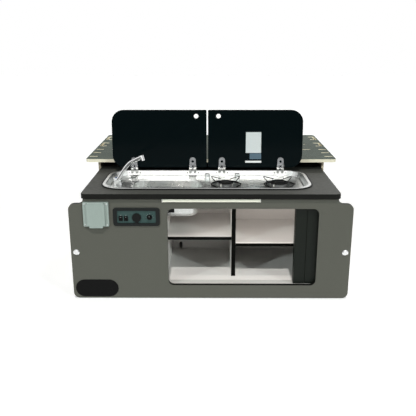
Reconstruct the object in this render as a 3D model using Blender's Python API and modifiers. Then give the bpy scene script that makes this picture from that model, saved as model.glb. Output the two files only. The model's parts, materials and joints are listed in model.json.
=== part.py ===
"""Campervan kitchen pod: a drawer-like kitchen that slides out of a plywood bed case on long runners.

X runs along the front, Y runs from the fascia back under the deck, Z is up. The origin is on the ground, under the
middle of the whole object. The kitchen stands pulled out, with its glass lids raised and its shutter open.
"""

import math

import bmesh
import bpy
from mathutils import Matrix, Vector

# Clearances and shared amounts
seat_gap = 0.0003
board_gap = 0.0006
overrun = 0.004

# Driving width: the clear width inside the bed case
case_inner_width = 1.066

# Fascia board
fascia_thickness = 0.018
ground_clearance = 0.003
ear_top = 0.423
neck_inset = 0.0075
ear_corner_radius = 0.025
ear_fillet_radius = 0.022
edge_round = 0.0012

# Shutter opening in the fascia
opening_left = -0.179
opening_right = 0.445
opening_top = 0.4024
opening_radius = 0.023

# Worktop
worktop_side_gap = 0.003
worktop_depth = 0.612
worktop_overhang = 0.012
worktop_thickness = 0.021
worktop_top = 0.468
worktop_corner_radius = 0.020

# Kitchen carcass
runner_space = 0.020
carcass_board = 0.015
carcass_bottom = 0.020
carcass_floor_top = 0.0623
thin_board = 0.012
bay_front = 0.0985
bay_depth = 0.3435
divider_left = 0.090
divider_board = 0.018
shelf_board = 0.014
left_shelf_top = 0.2458
right_shelf_top = 0.2163
bay_wall_face = -0.190
notch_centre = -0.149
notch_width = 0.014
notch_height = 0.033

# Bed case
case_front = 0.480
case_depth = 0.586
deck_overhang = 0.058
deck_lid_gap = 0.021
deck_depth = 0.661
deck_thickness = 0.015
deck_top = 0.520
deck_corner_radius = 0.018

# Slots in the deck, down each side
slot_length = 0.039
slot_width = 0.012
slot_centre_inset = 0.0255
slot_depths = (0.065, 0.155, 0.235)
hook_slot_width = 0.036
hook_slot_length = 0.096
hook_tongue_width = 0.014
hook_depths = (0.370, 0.555)
inner_slot_inset = 0.1055
lashing_hole_radius = 0.005
lashing_hole_inset = 0.0965

# Runners
runner_rear_gap = 0.014
runner_height = 0.053
runner_steel = 0.0016
runner_centre_height = 0.120
runner_setback = 0.010
outer_flange = 0.0140
middle_flange = 0.0085
inner_flange = 0.0085
runner_running_gap = 0.0005

# Push locks on the ears
lock_inset = 0.0235
lock_side_gap = 0.017
lock_height = 0.212
lock_hole_radius = 0.0085
lock_shaft_radius = 0.0080
lock_head_radius = 0.0130
lock_head_proud = 0.0075
lock_rear_reach = 0.010
lock_crown_shares = (0.7, 0.55)
striker_height = 0.070
striker_depth = 0.034
striker_reach = 0.032
striker_steel = 0.003

# Hob and sink tray
tray_length = 0.900
tray_depth = 0.338
tray_centre = -0.0165
tray_front = 0.056
tray_corner_radius = 0.095
tray_steel = 0.0012
rim_height = 0.006
rim_width = 0.017
rim_edge = 0.004
pan_depth = 0.0165
pan_slope = 0.012
cutout_margin = 0.0130
bowl_left = -0.340
bowl_right = -0.042
bowl_front = 0.090
bowl_rear = 0.292
bowl_depth = 0.118
bowl_radius = 0.060
bowl_draft = 0.014
bowl_fillet = 0.016
waste_radius = 0.030
waste_inset = 0.080
waste_dish_share = 0.8

# Burners, pan supports and gas knobs
burner_depth_place = 0.203
burner_places = (0.066, 0.299)
burner_cap_radii = (0.0325, 0.0390)
burner_body_height = 0.009
burner_cap_height = 0.006
burner_foot = 0.004
wire_radius = 0.0021
support_ring_radius = 0.064
support_tip_radius = 0.089
support_inner_radius = 0.031
support_rise = 0.024
support_fingers = 4
knob_places = ((-0.016, 0.325), (0.121, 0.328))
knob_radius = 0.0115
knob_height = 0.020
knob_top_share = 0.85
knob_edge_share = 0.15
knob_skirt_share = 1.15
knob_skirt_height_shares = (0.2, 0.4)
valve_radius = 0.012
valve_length = 0.016

# Glass lids
lid_width = 0.4352
lid_height = 0.2645
lid_gap = 0.0064
lid_glass = 0.005
lid_outer_radius = 0.056
lid_inner_radius = 0.006
lid_hinge_setback = 0.022
lid_hinge_height = 0.486
lid_lean = math.radians(4.0)
lid_edge_setback = 0.0048
finger_hole_radius = 0.011
finger_hole_side = 0.0479
finger_hole_drop = 0.0285
hinge_side_outer = 0.0995
hinge_side_inner = 0.0645
hinge_width = 0.032
hinge_head_width = 0.0285
hinge_knuckle_radius = 0.004
hinge_barrel_share = 0.34
hinge_plate = 0.0025
hinge_plate_height = 0.052
hinge_shoulder = 0.0165
hinge_plate_hole = 0.0060
hinge_hole_drop = 0.0190
hinge_low_hole = 0.0040
hinge_foot_reach = 0.027
hinge_foot = 0.0022
hinge_web = 0.0045

# Folding tap
tap_place = (-0.412, 0.220)
tap_flange_radius = 0.0225
tap_flange_height = 0.003
tap_body_radius = 0.020
tap_body_height = 0.019
tap_neck_radius = 0.0105
tap_cap_radius = 0.0135
tap_cap_height = 0.0018
tap_pivot_height = 0.468
tap_boss_reach = 0.0015
tap_eye_radius = 0.0088
tap_tube_radius = 0.008
tap_bend = (0.0553, 0.0822)
tap_end = (0.1156, 0.1105)
tap_bend_share = 0.30
nozzle_radius = 0.0092
nozzle_length = 0.024
nozzle_top_share = 0.35
nozzle_slant = 0.25
lever_ring_radius = 0.0185
lever_height = 0.0052
lever_reach = 0.080
lever_width = 0.010
lever_root_share = 0.7
lever_angle = math.radians(12.0)

# Strip light
light_left = -0.199
light_length = 0.403
light_height = 0.0125
light_proud = 0.006
light_centre_height = 0.4383

# Inlet socket
socket_left = -0.523
socket_width = 0.105
socket_bottom = 0.3285
socket_height = 0.1038
socket_proud = 0.009
socket_corner = 0.004
socket_recess_width = 0.048
socket_recess_height = 0.062
socket_recess_depth = 0.034
socket_wall = 0.003
socket_pin_radius = 0.003
socket_pin_length = 0.016
socket_pin_circle = 0.014
flap_left = -0.507
flap_width = 0.074
flap_thickness = 0.0085
flap_lip = 0.009
flap_corner = 0.005
flap_barrel_radius = 0.0042

# Control panel
panel_left = -0.401
panel_width = 0.192
panel_bottom = 0.330
panel_height = 0.0775
panel_radius = 0.012
panel_proud = 0.006
panel_recess = 0.0045
panel_recess_width = 0.160
panel_recess_height = 0.0535
panel_recess_radius = 0.004
panel_body_margin = 0.006
panel_body_depth = 0.024
rocker_width = 0.0155
rocker_height = 0.0195
rocker_thickness = 0.0075
rocker_proud = 0.0030
rocker_dip_share = 0.35
rocker_side_share = 0.55
rocker_clearance = 0.0008
rocker_places = (-0.3700, -0.3485)
rocker_centre_height = 0.3614
power_socket_place = (-0.3045, 0.3657)
power_bore_radius = 0.0105
power_bore_depth = 0.021
power_cap_radius = 0.0185
power_cap_thickness = 0.005
power_cap_tab = 0.0044
power_cap_tab_width = 0.012
selector_place = (-0.2515, 0.3670)
selector_radius = 0.0106
selector_proud = 0.011
selector_collar_share = 0.45
selector_edge_shares = (0.92, 0.8)
selector_grip_share = 0.8

# Shutter
leaf_count = 5
leaf_left = 0.353
leaf_width = 0.1440
leaf_thickness = 0.005
leaf_pitch = 0.0075
leaf_setback = 0.0025
slat_pitch = 0.048
slat_groove = 0.003
slat_groove_depth = 0.0015
track_wall = 0.0020
track_groove_depth = 0.0080
groove_clearance = 0.0004
catch_width = 0.026
catch_height = 0.034
catch_depth = 0.008

# Wiring lead
lead_radius = 0.0020
lead_sag = 0.0228
lead_rise = 0.012
lead_leave_share = 1 / 3
lead_end_share = 0.9
lead_hang_shares = (
    (0.16, 0), (0.25, 0.75), (0.34, 0), (0.42, 1), (0.50, 0), (0.58, 0.2), (0.67, 0.75), (0.76, 0),
)

# Sizes and places worked out from those above
case_inner = case_inner_width / 2
worktop_width = case_inner_width - 2 * worktop_side_gap
neck_width = worktop_width - 2 * neck_inset
carcass_width = case_inner_width - 2 * runner_space
deck_width = case_inner_width + 2 * deck_overhang
lock_place = case_inner + thin_board + lock_side_gap
fascia_width = 2 * (lock_place + lock_inset)
runner_length = case_depth - thin_board - runner_setback - runner_rear_gap
tray_rear = tray_front + tray_depth
lid_hinge_depth = tray_rear - lid_hinge_setback
deck_front = tray_rear + deck_lid_gap
front_reach = socket_proud + 2 * seat_gap + flap_thickness
object_depth = front_reach + deck_front + deck_depth
fascia_front = front_reach - object_depth / 2
fascia_back = fascia_front + fascia_thickness
fascia_top = worktop_top - worktop_thickness - seat_gap
worktop_under = worktop_top - worktop_thickness
carcass_top = worktop_under - seat_gap
carcass_front = fascia_back + seat_gap
carcass_rear = fascia_front + worktop_depth - worktop_overhang - edge_round
carcass_inner = carcass_width / 2 - carcass_board
opening_bottom = carcass_floor_top
deck_under = deck_top - deck_thickness
rim_top = worktop_top + rim_height
pan_floor = worktop_top - pan_depth
hinge_y = fascia_front + lid_hinge_depth
hinge_z = lid_hinge_height

PARTS = bpy.data.collections.new("campervan_kitchen_pod")
CUTTERS = bpy.data.collections.new("cutters")


def back(depth):
    """The Y of a place this far behind the fascia's front face."""
    return fascia_front + depth


def clear_scene():
    for obj in list(bpy.data.objects):
        bpy.data.objects.remove(obj, do_unlink=True)
    for collection in (PARTS, CUTTERS):
        bpy.context.scene.collection.children.link(collection)


def material(name, colour, roughness, metallic=0.0):
    made = bpy.data.materials.new(name)
    made.use_nodes = True
    shader = made.node_tree.nodes["Principled BSDF"]
    shader.inputs["Base Color"].default_value = (*colour, 1.0)
    shader.inputs["Roughness"].default_value = roughness
    shader.inputs["Metallic"].default_value = metallic
    made.diffuse_color = (*colour, 1.0)
    return made


def add(name, mesh, mat, where=None):
    """A new object of this mesh, with its material, in the parts' collection unless another is named."""
    obj = bpy.data.objects.new(name, mesh)
    (where or PARTS).objects.link(obj)
    if mat:
        mesh.materials.append(mat)
    return obj


def as_cutter(obj):
    """Keeps an object out of the model: it only shapes another one."""
    for collection in list(obj.users_collection):
        collection.objects.unlink(obj)
    CUTTERS.objects.link(obj)
    obj.hide_render = True
    obj.display_type = "WIRE"
    return obj


def boolean(target, other, operation, solver="EXACT"):
    modifier = target.modifiers.new(f"{operation.lower()}_{other.name}", "BOOLEAN")
    modifier.operation = operation
    modifier.object = as_cutter(other)
    modifier.solver = solver
    return target


def cut(target, other):
    return boolean(target, other, "DIFFERENCE")


def unite(target, other, solver="EXACT"):
    return boolean(target, other, "UNION", solver)


def rounded(obj, width, segments=1):
    """Small rounded edges on every sharp corner."""
    modifier = obj.modifiers.new("rounded_edges", "BEVEL")
    modifier.width = width
    modifier.segments = segments
    modifier.limit_method = "ANGLE"
    modifier.angle_limit = math.radians(40)
    modifier.harden_normals = False
    return obj


def smooth(obj, angle=math.radians(35)):
    obj.data.shade_smooth()
    obj.data.set_sharp_from_angle(angle=angle)
    return obj


def box(name, low, high, mat, where=None):
    """A box between two corners."""
    bm = bmesh.new()
    bmesh.ops.create_cube(bm, size=1.0)
    low, high = Vector(low), Vector(high)
    size = high - low
    bmesh.ops.scale(bm, vec=size, verts=bm.verts)
    bmesh.ops.translate(bm, vec=(low + high) / 2, verts=bm.verts)
    mesh = bpy.data.meshes.new(name)
    bm.to_mesh(mesh)
    bm.free()
    return add(name, mesh, mat, where)


def cylinder(name, radius, start, end, mat, segments=32, end_radius=None):
    """A cylinder, or a cone with end_radius, from one point to another."""
    start, end = Vector(start), Vector(end)
    bm = bmesh.new()
    bmesh.ops.create_cone(
        bm,
        cap_ends=True,
        segments=segments,
        radius1=radius,
        radius2=radius if end_radius is None else end_radius,
        depth=(end - start).length,
    )
    turn = Vector((0, 0, 1)).rotation_difference(end - start).to_matrix().to_4x4()
    bmesh.ops.transform(bm, matrix=Matrix.Translation((start + end) / 2) @ turn, verts=bm.verts)
    mesh = bpy.data.meshes.new(name)
    bm.to_mesh(mesh)
    bm.free()
    return smooth(add(name, mesh, mat))


def turned(name, profile, place, mat, steps=32, facing_front=False):
    """A turned piece: profile points are (radius, height), run down the outer side. It may face the front."""
    mesh = bpy.data.meshes.new(name)
    points = [(radius, 0, height) for radius, height in profile]
    closed = profile[0] == profile[-1]
    points = points[:-1] if closed else points
    edges = [(i, i + 1) for i in range(len(points) - 1)]
    if closed:
        edges.append((len(points) - 1, 0))
    mesh.from_pydata(points, edges, [])
    obj = add(name, mesh, mat)
    obj.location = place
    if facing_front:
        obj.rotation_euler = (math.pi / 2, 0, 0)
    screw = obj.modifiers.new("turned", "SCREW")
    screw.steps = steps
    screw.render_steps = steps
    screw.use_merge_vertices = True
    screw.merge_threshold = 0.00001
    screw.use_smooth_shade = False
    return obj


def filleted(corners, steps=5):
    """Points of an outline whose corners (x, y, radius) are rounded with arcs."""
    points = []
    count = len(corners)
    for i, (x, y, radius) in enumerate(corners):
        here = Vector((x, y))
        to_last = (Vector(corners[i - 1][:2]) - here).normalized()
        to_next = (Vector(corners[(i + 1) % count][:2]) - here).normalized()
        if not radius:
            points.append(here)
            continue
        half = to_last.angle(to_next) / 2
        start = here + to_last * radius / math.tan(half)
        centre = here + (to_last + to_next).normalized() * radius / math.sin(half)
        arm = start - centre
        end_arm = here + to_next * radius / math.tan(half) - centre
        sweep = math.atan2(arm.x * end_arm.y - arm.y * end_arm.x, arm.dot(end_arm))
        for step in range(steps + 1):
            turn = Matrix.Rotation(sweep * step / steps, 2)
            points.append(centre + turn @ arm)
    return points


def rectangle(left, bottom, right, top, radius=0.0, steps=5):
    """A rectangle's outline, its corners rounded to one radius."""
    corners = [(left, bottom, radius), (right, bottom, radius), (right, top, radius), (left, top, radius)]
    return filleted(corners, steps)


def circle(x, y, radius, count=24):
    turns = [2 * math.pi * i / count for i in range(count)]
    return [Vector((x + radius * math.cos(t), y + radius * math.sin(t))) for t in turns]


PLANES = {
    "XY": Matrix.Identity(4),
    "XZ": Matrix.Rotation(math.pi / 2, 4, "X"),
    "YZ": Matrix(((0, 0, 1, 0), (1, 0, 0, 0), (0, 1, 0, 0), (0, 0, 0, 1))),
}


def prism(name, outlines, low, high, plane, mat):
    """A flat outline, with any holes as further outlines, drawn in a plane and carried from low to high across it."""
    curve = bpy.data.curves.new(name, "CURVE")
    curve.dimensions = "2D"
    curve.fill_mode = "BOTH"
    curve.extrude = (high - low) / 2
    for outline in outlines:
        spline = curve.splines.new("POLY")
        spline.points.add(len(outline) - 1)
        for point, place in zip(spline.points, outline):
            point.co = (place.x, place.y, 0, 1)
        spline.use_cyclic_u = True
    across = -(low + high) / 2 if plane == "XZ" else (low + high) / 2
    matrix = PLANES[plane] @ Matrix.Translation((0, 0, across))
    return meshed(name, curve, mat, matrix)


def meshed(name, curve, mat, matrix=None):
    """The closed mesh object that a curve makes."""
    guide = bpy.data.objects.new(name + "_guide", curve)
    CUTTERS.objects.link(guide)
    graph = bpy.context.evaluated_depsgraph_get()
    mesh = bpy.data.meshes.new_from_object(guide.evaluated_get(graph))
    bpy.data.objects.remove(guide, do_unlink=True)
    bm = bmesh.new()
    bm.from_mesh(mesh)
    bmesh.ops.remove_doubles(bm, verts=bm.verts, dist=0.00001)
    bmesh.ops.recalc_face_normals(bm, faces=bm.faces)
    if bm.calc_volume(signed=True) < 0:
        bmesh.ops.reverse_faces(bm, faces=bm.faces)
    if matrix:
        bmesh.ops.transform(bm, matrix=matrix, verts=bm.verts)
    bm.to_mesh(mesh)
    bm.free()
    mesh.name = name
    mesh.materials.clear()
    return smooth(add(name, mesh, mat))


def tube(name, points, radius, mat, cyclic=False, resolution=2):
    """A round wire or pipe along points, with closed ends."""
    curve = bpy.data.curves.new(name, "CURVE")
    curve.dimensions = "3D"
    curve.bevel_depth = radius
    curve.bevel_resolution = resolution
    curve.use_fill_caps = not cyclic
    spline = curve.splines.new("POLY")
    spline.points.add(len(points) - 1)
    for point, place in zip(spline.points, points):
        point.co = (*place, 1)
    spline.use_cyclic_u = cyclic
    return meshed(name, curve, mat)


def smooth_route(places, steps):
    """Points on one smooth curve through these places."""
    ends = [Vector(place) for place in (places[0], *places, places[-1])]
    points = []
    for a, b, c, d in zip(ends, ends[1:], ends[2:], ends[3:]):
        reach = (c - b).length
        leave = (c - a).normalized() * reach
        arrive = (d - b).normalized() * reach
        for step in range(steps):
            t = step / steps
            along = t * t * (3 - 2 * t)
            bend = leave * t * (1 - t) ** 2 - arrive * t * t * (1 - t)
            points.append(b.lerp(c, along) + bend)
    return points + [ends[-1]]


def loft(bm, rings):
    """Faces between rings of as many points each. It gives back the rings' vertices."""
    made = [[bm.verts.new(point) for point in ring] for ring in rings]
    for outer, inner in zip(made, made[1:]):
        count = len(outer)
        for i in range(count):
            j = (i + 1) % count
            bm.faces.new((outer[i], outer[j], inner[j], inner[i]))
    return made


def ring_edges(bm, ring):
    return [bm.edges.get((a, b)) or bm.edges.new((a, b)) for a, b in zip(ring, ring[1:] + ring[:1])]


def origin_at(obj, point):
    """Moves an object's origin to a point, with its shape left in place."""
    point = Vector(point)
    obj.data.transform(Matrix.Translation(obj.location - point))
    obj.location = point
    return obj


def joint(name, place):
    """An empty on a joint's axis, which carries what moves there."""
    empty = bpy.data.objects.new(name, None)
    PARTS.objects.link(empty)
    empty.location = place
    empty.empty_display_size = runner_height
    return empty


def carry(empty, *objects):
    for obj in objects:
        obj.parent = empty
        obj.matrix_parent_inverse = Matrix.Translation(-empty.location)


def sides():
    """The two sides of the object: a name and a sign."""
    return (("left", -1), ("right", 1))


def span(sign, inner, outer):
    """The low and high X of a slice on one side."""
    return min(sign * inner, sign * outer), max(sign * inner, sign * outer)


def make_case(mats):
    """The plywood bed case that stays in the van."""
    rear = back(case_front + case_depth)
    front = back(case_front)
    outer = case_inner + thin_board
    box(
        "case_floor",
        (-case_inner + seat_gap, front, 0),
        (case_inner - seat_gap, rear, thin_board),
        mats["ply"],
    )
    box(
        "case_back",
        (-case_inner + seat_gap, rear - thin_board, thin_board + seat_gap),
        (case_inner - seat_gap, rear, deck_under - seat_gap),
        mats["ply"],
    )
    for side, sign in sides():
        low, high = span(sign, case_inner, outer)
        board = box(
            f"case_side_{side}", (low, front, 0), (high, rear, deck_under - seat_gap), mats["ply"]
        )
        rounded(board, edge_round)
        make_striker(side, sign, outer + seat_gap, mats["alloy"])


def make_striker(side, sign, face, mat):
    """An angle bracket on the case side, which the kitchen's push lock bolts on to when the kitchen is home."""
    front = back(case_front)
    outline = [
        (face, front),
        (face + striker_reach, front),
        (face + striker_reach, front + striker_steel),
        (face + striker_steel, front + striker_steel),
        (face + striker_steel, front + striker_depth),
        (face, front + striker_depth),
    ]
    points = filleted([(sign * x, y, 0.0) for x, y in outline])
    bottom = lock_height - striker_height / 2
    striker = prism(
        f"lock_striker_{side}", [points], bottom, bottom + striker_height, "XY", mat
    )
    lock_x = sign * lock_place
    hole = cylinder(
        f"striker_hole_{side}",
        lock_hole_radius,
        (lock_x, front - overrun, lock_height),
        (lock_x, front + striker_steel + overrun, lock_height),
        None,
        20,
    )
    cut(striker, hole)


def hook_slot(x, y, sign):
    """A slot bent round a tongue, open towards the middle of the deck."""
    half_width, half_length = hook_slot_width / 2, hook_slot_length / 2
    outer, inner = x + sign * half_width, x - sign * half_width
    tongue = x + sign * (half_width - hook_tongue_width)
    arm = half_length - hook_tongue_width
    radius = hook_tongue_width / 3
    corners = [
        (outer, y - half_length, radius),
        (outer, y + half_length, radius),
        (inner, y + half_length, radius),
        (inner, y + arm, radius),
        (tongue, y + arm, radius),
        (tongue, y - arm, radius),
        (inner, y - arm, radius),
        (inner, y - half_length, radius),
    ]
    return filleted(corners, 3)


def make_deck(mats):
    """The bed board on the case, with slots down both sides."""
    half, front = deck_width / 2, back(deck_front)
    outlines = [rectangle(-half, front, half, front + deck_depth, deck_corner_radius)]
    for _, sign in sides():
        x = sign * (half - slot_centre_inset)
        for depth in slot_depths:
            left, right = x - slot_length / 2, x + slot_length / 2
            y = front + depth
            outlines.append(
                rectangle(left, y - slot_width / 2, right, y + slot_width / 2, slot_width / 3, 3)
            )
        for depth in hook_depths:
            outlines.append(hook_slot(x, front + depth, sign))
        y = front + slot_depths[-1]
        x = sign * (half - inner_slot_inset)
        left, right = x - slot_length / 2, x + slot_length / 2
        outlines.append(
            rectangle(left, y - slot_width / 2, right, y + slot_width / 2, slot_width / 3, 3)
        )
        hole_x = sign * (half - lashing_hole_inset)
        outlines.append(circle(hole_x, front + hook_depths[0], lashing_hole_radius, 12))
    prism("deck_board", outlines, deck_under, deck_top, "XY", mats["deck"])


def channel(name, sign, web_x, flange_x, height, y, mat):
    """A runner member: a web, with a flange at its top and its foot that reach to flange_x."""
    half = height / 2
    steel = runner_steel if flange_x > web_x else -runner_steel
    points = [
        (web_x, -half),
        (flange_x, -half),
        (flange_x, -half + runner_steel),
        (web_x + steel, -half + runner_steel),
        (web_x + steel, half - runner_steel),
        (flange_x, half - runner_steel),
        (flange_x, half),
        (web_x, half),
    ]
    outline = [Vector((sign * x, runner_centre_height + z)) for x, z in points]
    return prism(name, [outline], y, y + runner_length, "XZ", mat)


def make_runners(mats):
    """Three nested members on each side: one on the case, one between, one on the kitchen."""
    inner_face = carcass_width / 2 + seat_gap
    outer_face = case_inner - seat_gap
    outer_y = back(case_front) + runner_setback
    inner_y = carcass_front + runner_setback
    middle_y = (outer_y + inner_y) / 2
    inside_outer = runner_height - 2 * (runner_steel + runner_running_gap)
    inside_middle = inside_outer - 2 * (runner_steel + runner_running_gap)
    middle_web = outer_face - outer_flange + middle_flange - runner_steel
    made = {}
    for side, sign in sides():
        made["outer", side] = channel(
            f"runner_outer_{side}",
            sign,
            outer_face,
            outer_face - outer_flange,
            runner_height,
            outer_y,
            mats["zinc"],
        )
        made["middle", side] = channel(
            f"runner_middle_{side}",
            sign,
            middle_web,
            middle_web - middle_flange,
            inside_outer,
            middle_y,
            mats["zinc"],
        )
        made["inner", side] = channel(
            f"runner_inner_{side}",
            sign,
            inner_face,
            inner_face + inner_flange,
            inside_middle,
            inner_y,
            mats["zinc"],
        )
    return made


def fascia_outline():
    half, neck = fascia_width / 2, neck_width / 2
    corners = [
        (-half, ground_clearance, ear_corner_radius),
        (half, ground_clearance, ear_corner_radius),
        (half, ear_top, ear_corner_radius),
        (neck, ear_top, ear_fillet_radius),
        (neck, fascia_top, 0.0),
        (-neck, fascia_top, 0.0),
        (-neck, ear_top, ear_fillet_radius),
        (-half, ear_top, ear_corner_radius),
    ]
    return filleted(corners, 6)


def make_fascia(mats):
    """The front board, with ears past the carcass and holes for all that is fitted in it."""
    recess_x = flap_left + flap_width / 2
    recess_z = socket_bottom + socket_height / 2
    half_width = socket_recess_width / 2 + socket_wall + board_gap
    half_height = socket_recess_height / 2 + socket_wall + board_gap
    panel_x, panel_z = panel_centre()
    body_width = panel_width / 2 - panel_body_margin + board_gap
    body_height = panel_height / 2 - panel_body_margin + board_gap
    holes = [
        rectangle(opening_left, opening_bottom, opening_right, opening_top, opening_radius, 6),
        rectangle(
            recess_x - half_width,
            recess_z - half_height,
            recess_x + half_width,
            recess_z + half_height,
            socket_corner,
            3,
        ),
        rectangle(
            panel_x - body_width,
            panel_z - body_height,
            panel_x + body_width,
            panel_z + body_height,
            panel_recess_radius,
            3,
        ),
    ]
    for _, sign in sides():
        holes.append(circle(sign * lock_place, lock_height, lock_hole_radius, 20))
    fascia = prism(
        "fascia", [fascia_outline()] + holes, fascia_front, fascia_back, "XZ", mats["laminate"]
    )
    return rounded(fascia, edge_round)


def make_worktop(mats):
    """The laminated worktop, with its cut-out for the hob and sink."""
    half = worktop_width / 2
    front = fascia_front - worktop_overhang
    radius = worktop_corner_radius
    corners = [
        (-half, front, radius),
        (half, front, radius),
        (half, front + worktop_depth, 0.0),
        (-half, front + worktop_depth, 0.0),
    ]
    hole = tray_ring(cutout_margin)
    worktop = prism(
        "worktop", [filleted(corners, 6), hole], worktop_under, worktop_top, "XY", mats["laminate"]
    )
    return rounded(worktop, edge_round)


def make_carcass(mats):
    """Sides, floor, back, bay wall, divider and shelves of the kitchen."""
    bay_rear = back(bay_front + bay_depth)
    front = back(bay_front)
    pieces = []
    for side, sign in sides():
        low, high = span(sign, carcass_inner, carcass_width / 2)
        pieces.append(
            box(
                f"kitchen_side_{side}",
                (low, carcass_front, carcass_bottom),
                (high, carcass_rear, carcass_top),
                mats["board"],
            )
        )
    floor_front = carcass_front + track_depth() + seat_gap
    pieces.append(
        box(
            "kitchen_floor",
            (-carcass_inner + seat_gap, floor_front, carcass_floor_top - thin_board),
            (carcass_inner - seat_gap, carcass_rear, carcass_floor_top),
            mats["board"],
        )
    )
    bottom = carcass_floor_top + seat_gap
    outline = rectangle(-carcass_inner + seat_gap, bottom, carcass_inner - seat_gap, carcass_top)
    left, right = notch_centre - notch_width / 2, notch_centre + notch_width / 2
    notch = filleted(
        [
            (left, bottom - overrun, 0.0),
            (right, bottom - overrun, 0.0),
            (right, bottom + notch_height, notch_width / 2 - edge_round / 10),
            (left, bottom + notch_height, notch_width / 2 - edge_round / 10),
        ]
    )
    back_board = prism(
        "kitchen_back", [outline], bay_rear, bay_rear + thin_board, "XZ", mats["board"]
    )
    cut(
        back_board,
        prism("hose_notch", [notch], bay_rear - overrun, bay_rear + thin_board + overrun, "XZ", None),
    )
    pieces.append(back_board)
    rear = bay_rear - seat_gap
    wall = box(
        "bay_wall",
        (bay_wall_face - thin_board, front, bottom),
        (bay_wall_face, rear, carcass_top),
        mats["board"],
    )
    clear = tray_steel + overrun
    cut(
        wall,
        box(
            "bowl_notch",
            (
                bay_wall_face - thin_board - overrun,
                back(bowl_front) - clear,
                pan_floor - bowl_depth - clear,
            ),
            (bay_wall_face + overrun, back(bowl_rear) + clear, carcass_top + overrun),
            None,
        ),
    )
    pieces.append(wall)
    divider_right = divider_left + divider_board
    pieces.append(
        box("divider", (divider_left, front, bottom), (divider_right, rear, carcass_top), mats["board"])
    )
    shelves = (
        ("left", bay_wall_face + seat_gap, divider_left - seat_gap, left_shelf_top),
        ("right", divider_right + seat_gap, carcass_inner - seat_gap, right_shelf_top),
    )
    for side, low, high, top in shelves:
        pieces.append(
            box(f"shelf_{side}", (low, front, top - shelf_board), (high, rear, top), mats["board"])
        )
    return pieces


def track_depth():
    """How far the shutter tracks reach back from the fascia."""
    return leaf_setback + (leaf_count - 1) * leaf_pitch + leaf_thickness + track_wall


def leaf_front(index):
    return fascia_back + leaf_setback + index * leaf_pitch


def comb(bottom, top, groove_from, groove_to):
    """A track's section: a block, with a groove for each leaf that opens at groove_to."""
    front, rear = carcass_front, carcass_front + track_depth()
    points = [(front, groove_to)]
    for i in range(leaf_count):
        low = leaf_front(i) - groove_clearance
        high = leaf_front(i) + leaf_thickness + groove_clearance
        points += [(low, groove_to), (low, groove_from), (high, groove_from), (high, groove_to)]
    far = bottom if groove_to == top else top
    points += [(rear, groove_to), (rear, far), (front, far)]
    return [Vector(point) for point in points]


def make_shutter(mats):
    """The tracks and the grooved leaves of the shutter, parked at the right of the opening."""
    left, right = opening_left - track_wall, carcass_inner - seat_gap
    bottom, top = carcass_floor_top - thin_board, carcass_floor_top
    low_groove = top - track_groove_depth
    track_low = prism(
        "shutter_track_bottom", [comb(bottom, top, low_groove, top)], left, right, "YZ", mats["track"]
    )
    high_groove = opening_top + track_groove_depth
    track_high = prism(
        "shutter_track_top",
        [comb(opening_top, carcass_top, high_groove, opening_top)],
        left,
        right,
        "YZ",
        mats["black"],
    )
    rear = carcass_front + track_depth()
    catch = box(
        "shutter_catch",
        (opening_left, rear - track_wall / 2, opening_top - catch_height),
        (opening_left + catch_width, rear + catch_depth, opening_top + catch_height / 3),
        None,
    )
    unite(track_high, catch, "MANIFOLD")
    leaves = []
    for i in range(leaf_count):
        front = leaf_front(i)
        leaf = prism(
            f"shutter_leaf_{i + 1}",
            [leaf_section(front)],
            low_groove + groove_clearance,
            high_groove - groove_clearance,
            "XY",
            mats["shutter"],
        )
        leaves.append(origin_at(leaf, (leaf_left, front, low_groove)))
    return track_low, track_high, leaves


def leaf_section(front):
    """A leaf seen from above: a flat slat board with a groove at each slat."""
    rear = front + leaf_thickness
    points = [(leaf_left, front)]
    x = leaf_left + slat_pitch
    while x < leaf_left + leaf_width - slat_groove:
        points += [
            (x - slat_groove / 2, front),
            (x, front + slat_groove_depth),
            (x + slat_groove / 2, front),
        ]
        x += slat_pitch
    points += [(leaf_left + leaf_width, front), (leaf_left + leaf_width, rear), (leaf_left, rear)]
    return [Vector(point) for point in points]


def tray_ring(inset, steps=8):
    """The tray's outline, drawn in by inset."""
    left, right = tray_centre - tray_length / 2 + inset, tray_centre + tray_length / 2 - inset
    front, rear = back(tray_front) + inset, back(tray_rear) - inset
    return rectangle(left, front, right, rear, tray_corner_radius - inset, steps)


def bowl_ring(inset, steps=8):
    return rectangle(
        bowl_left + inset,
        back(bowl_front) + inset,
        bowl_right - inset,
        back(bowl_rear) - inset,
        bowl_radius - inset,
        steps,
    )


def waste_place():
    """The waste's centre, near the bowl's left end, clear of the bay wall below."""
    return bowl_left + waste_inset, (back(bowl_front) + back(bowl_rear)) / 2


def at_height(ring, z):
    return [(point.x, point.y, z) for point in ring]


def hinge_places():
    """The X of each hinge, by lid: the outer one first."""
    middle = (2 * tray_centre + lid_gap) / 2 - lid_gap / 2
    return {
        "left": (middle - lid_gap / 2 - lid_width + hinge_side_outer, middle - lid_gap / 2 - hinge_side_inner),
        "right": (middle + lid_gap / 2 + lid_width - hinge_side_outer, middle + lid_gap / 2 + hinge_side_inner),
    }


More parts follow.
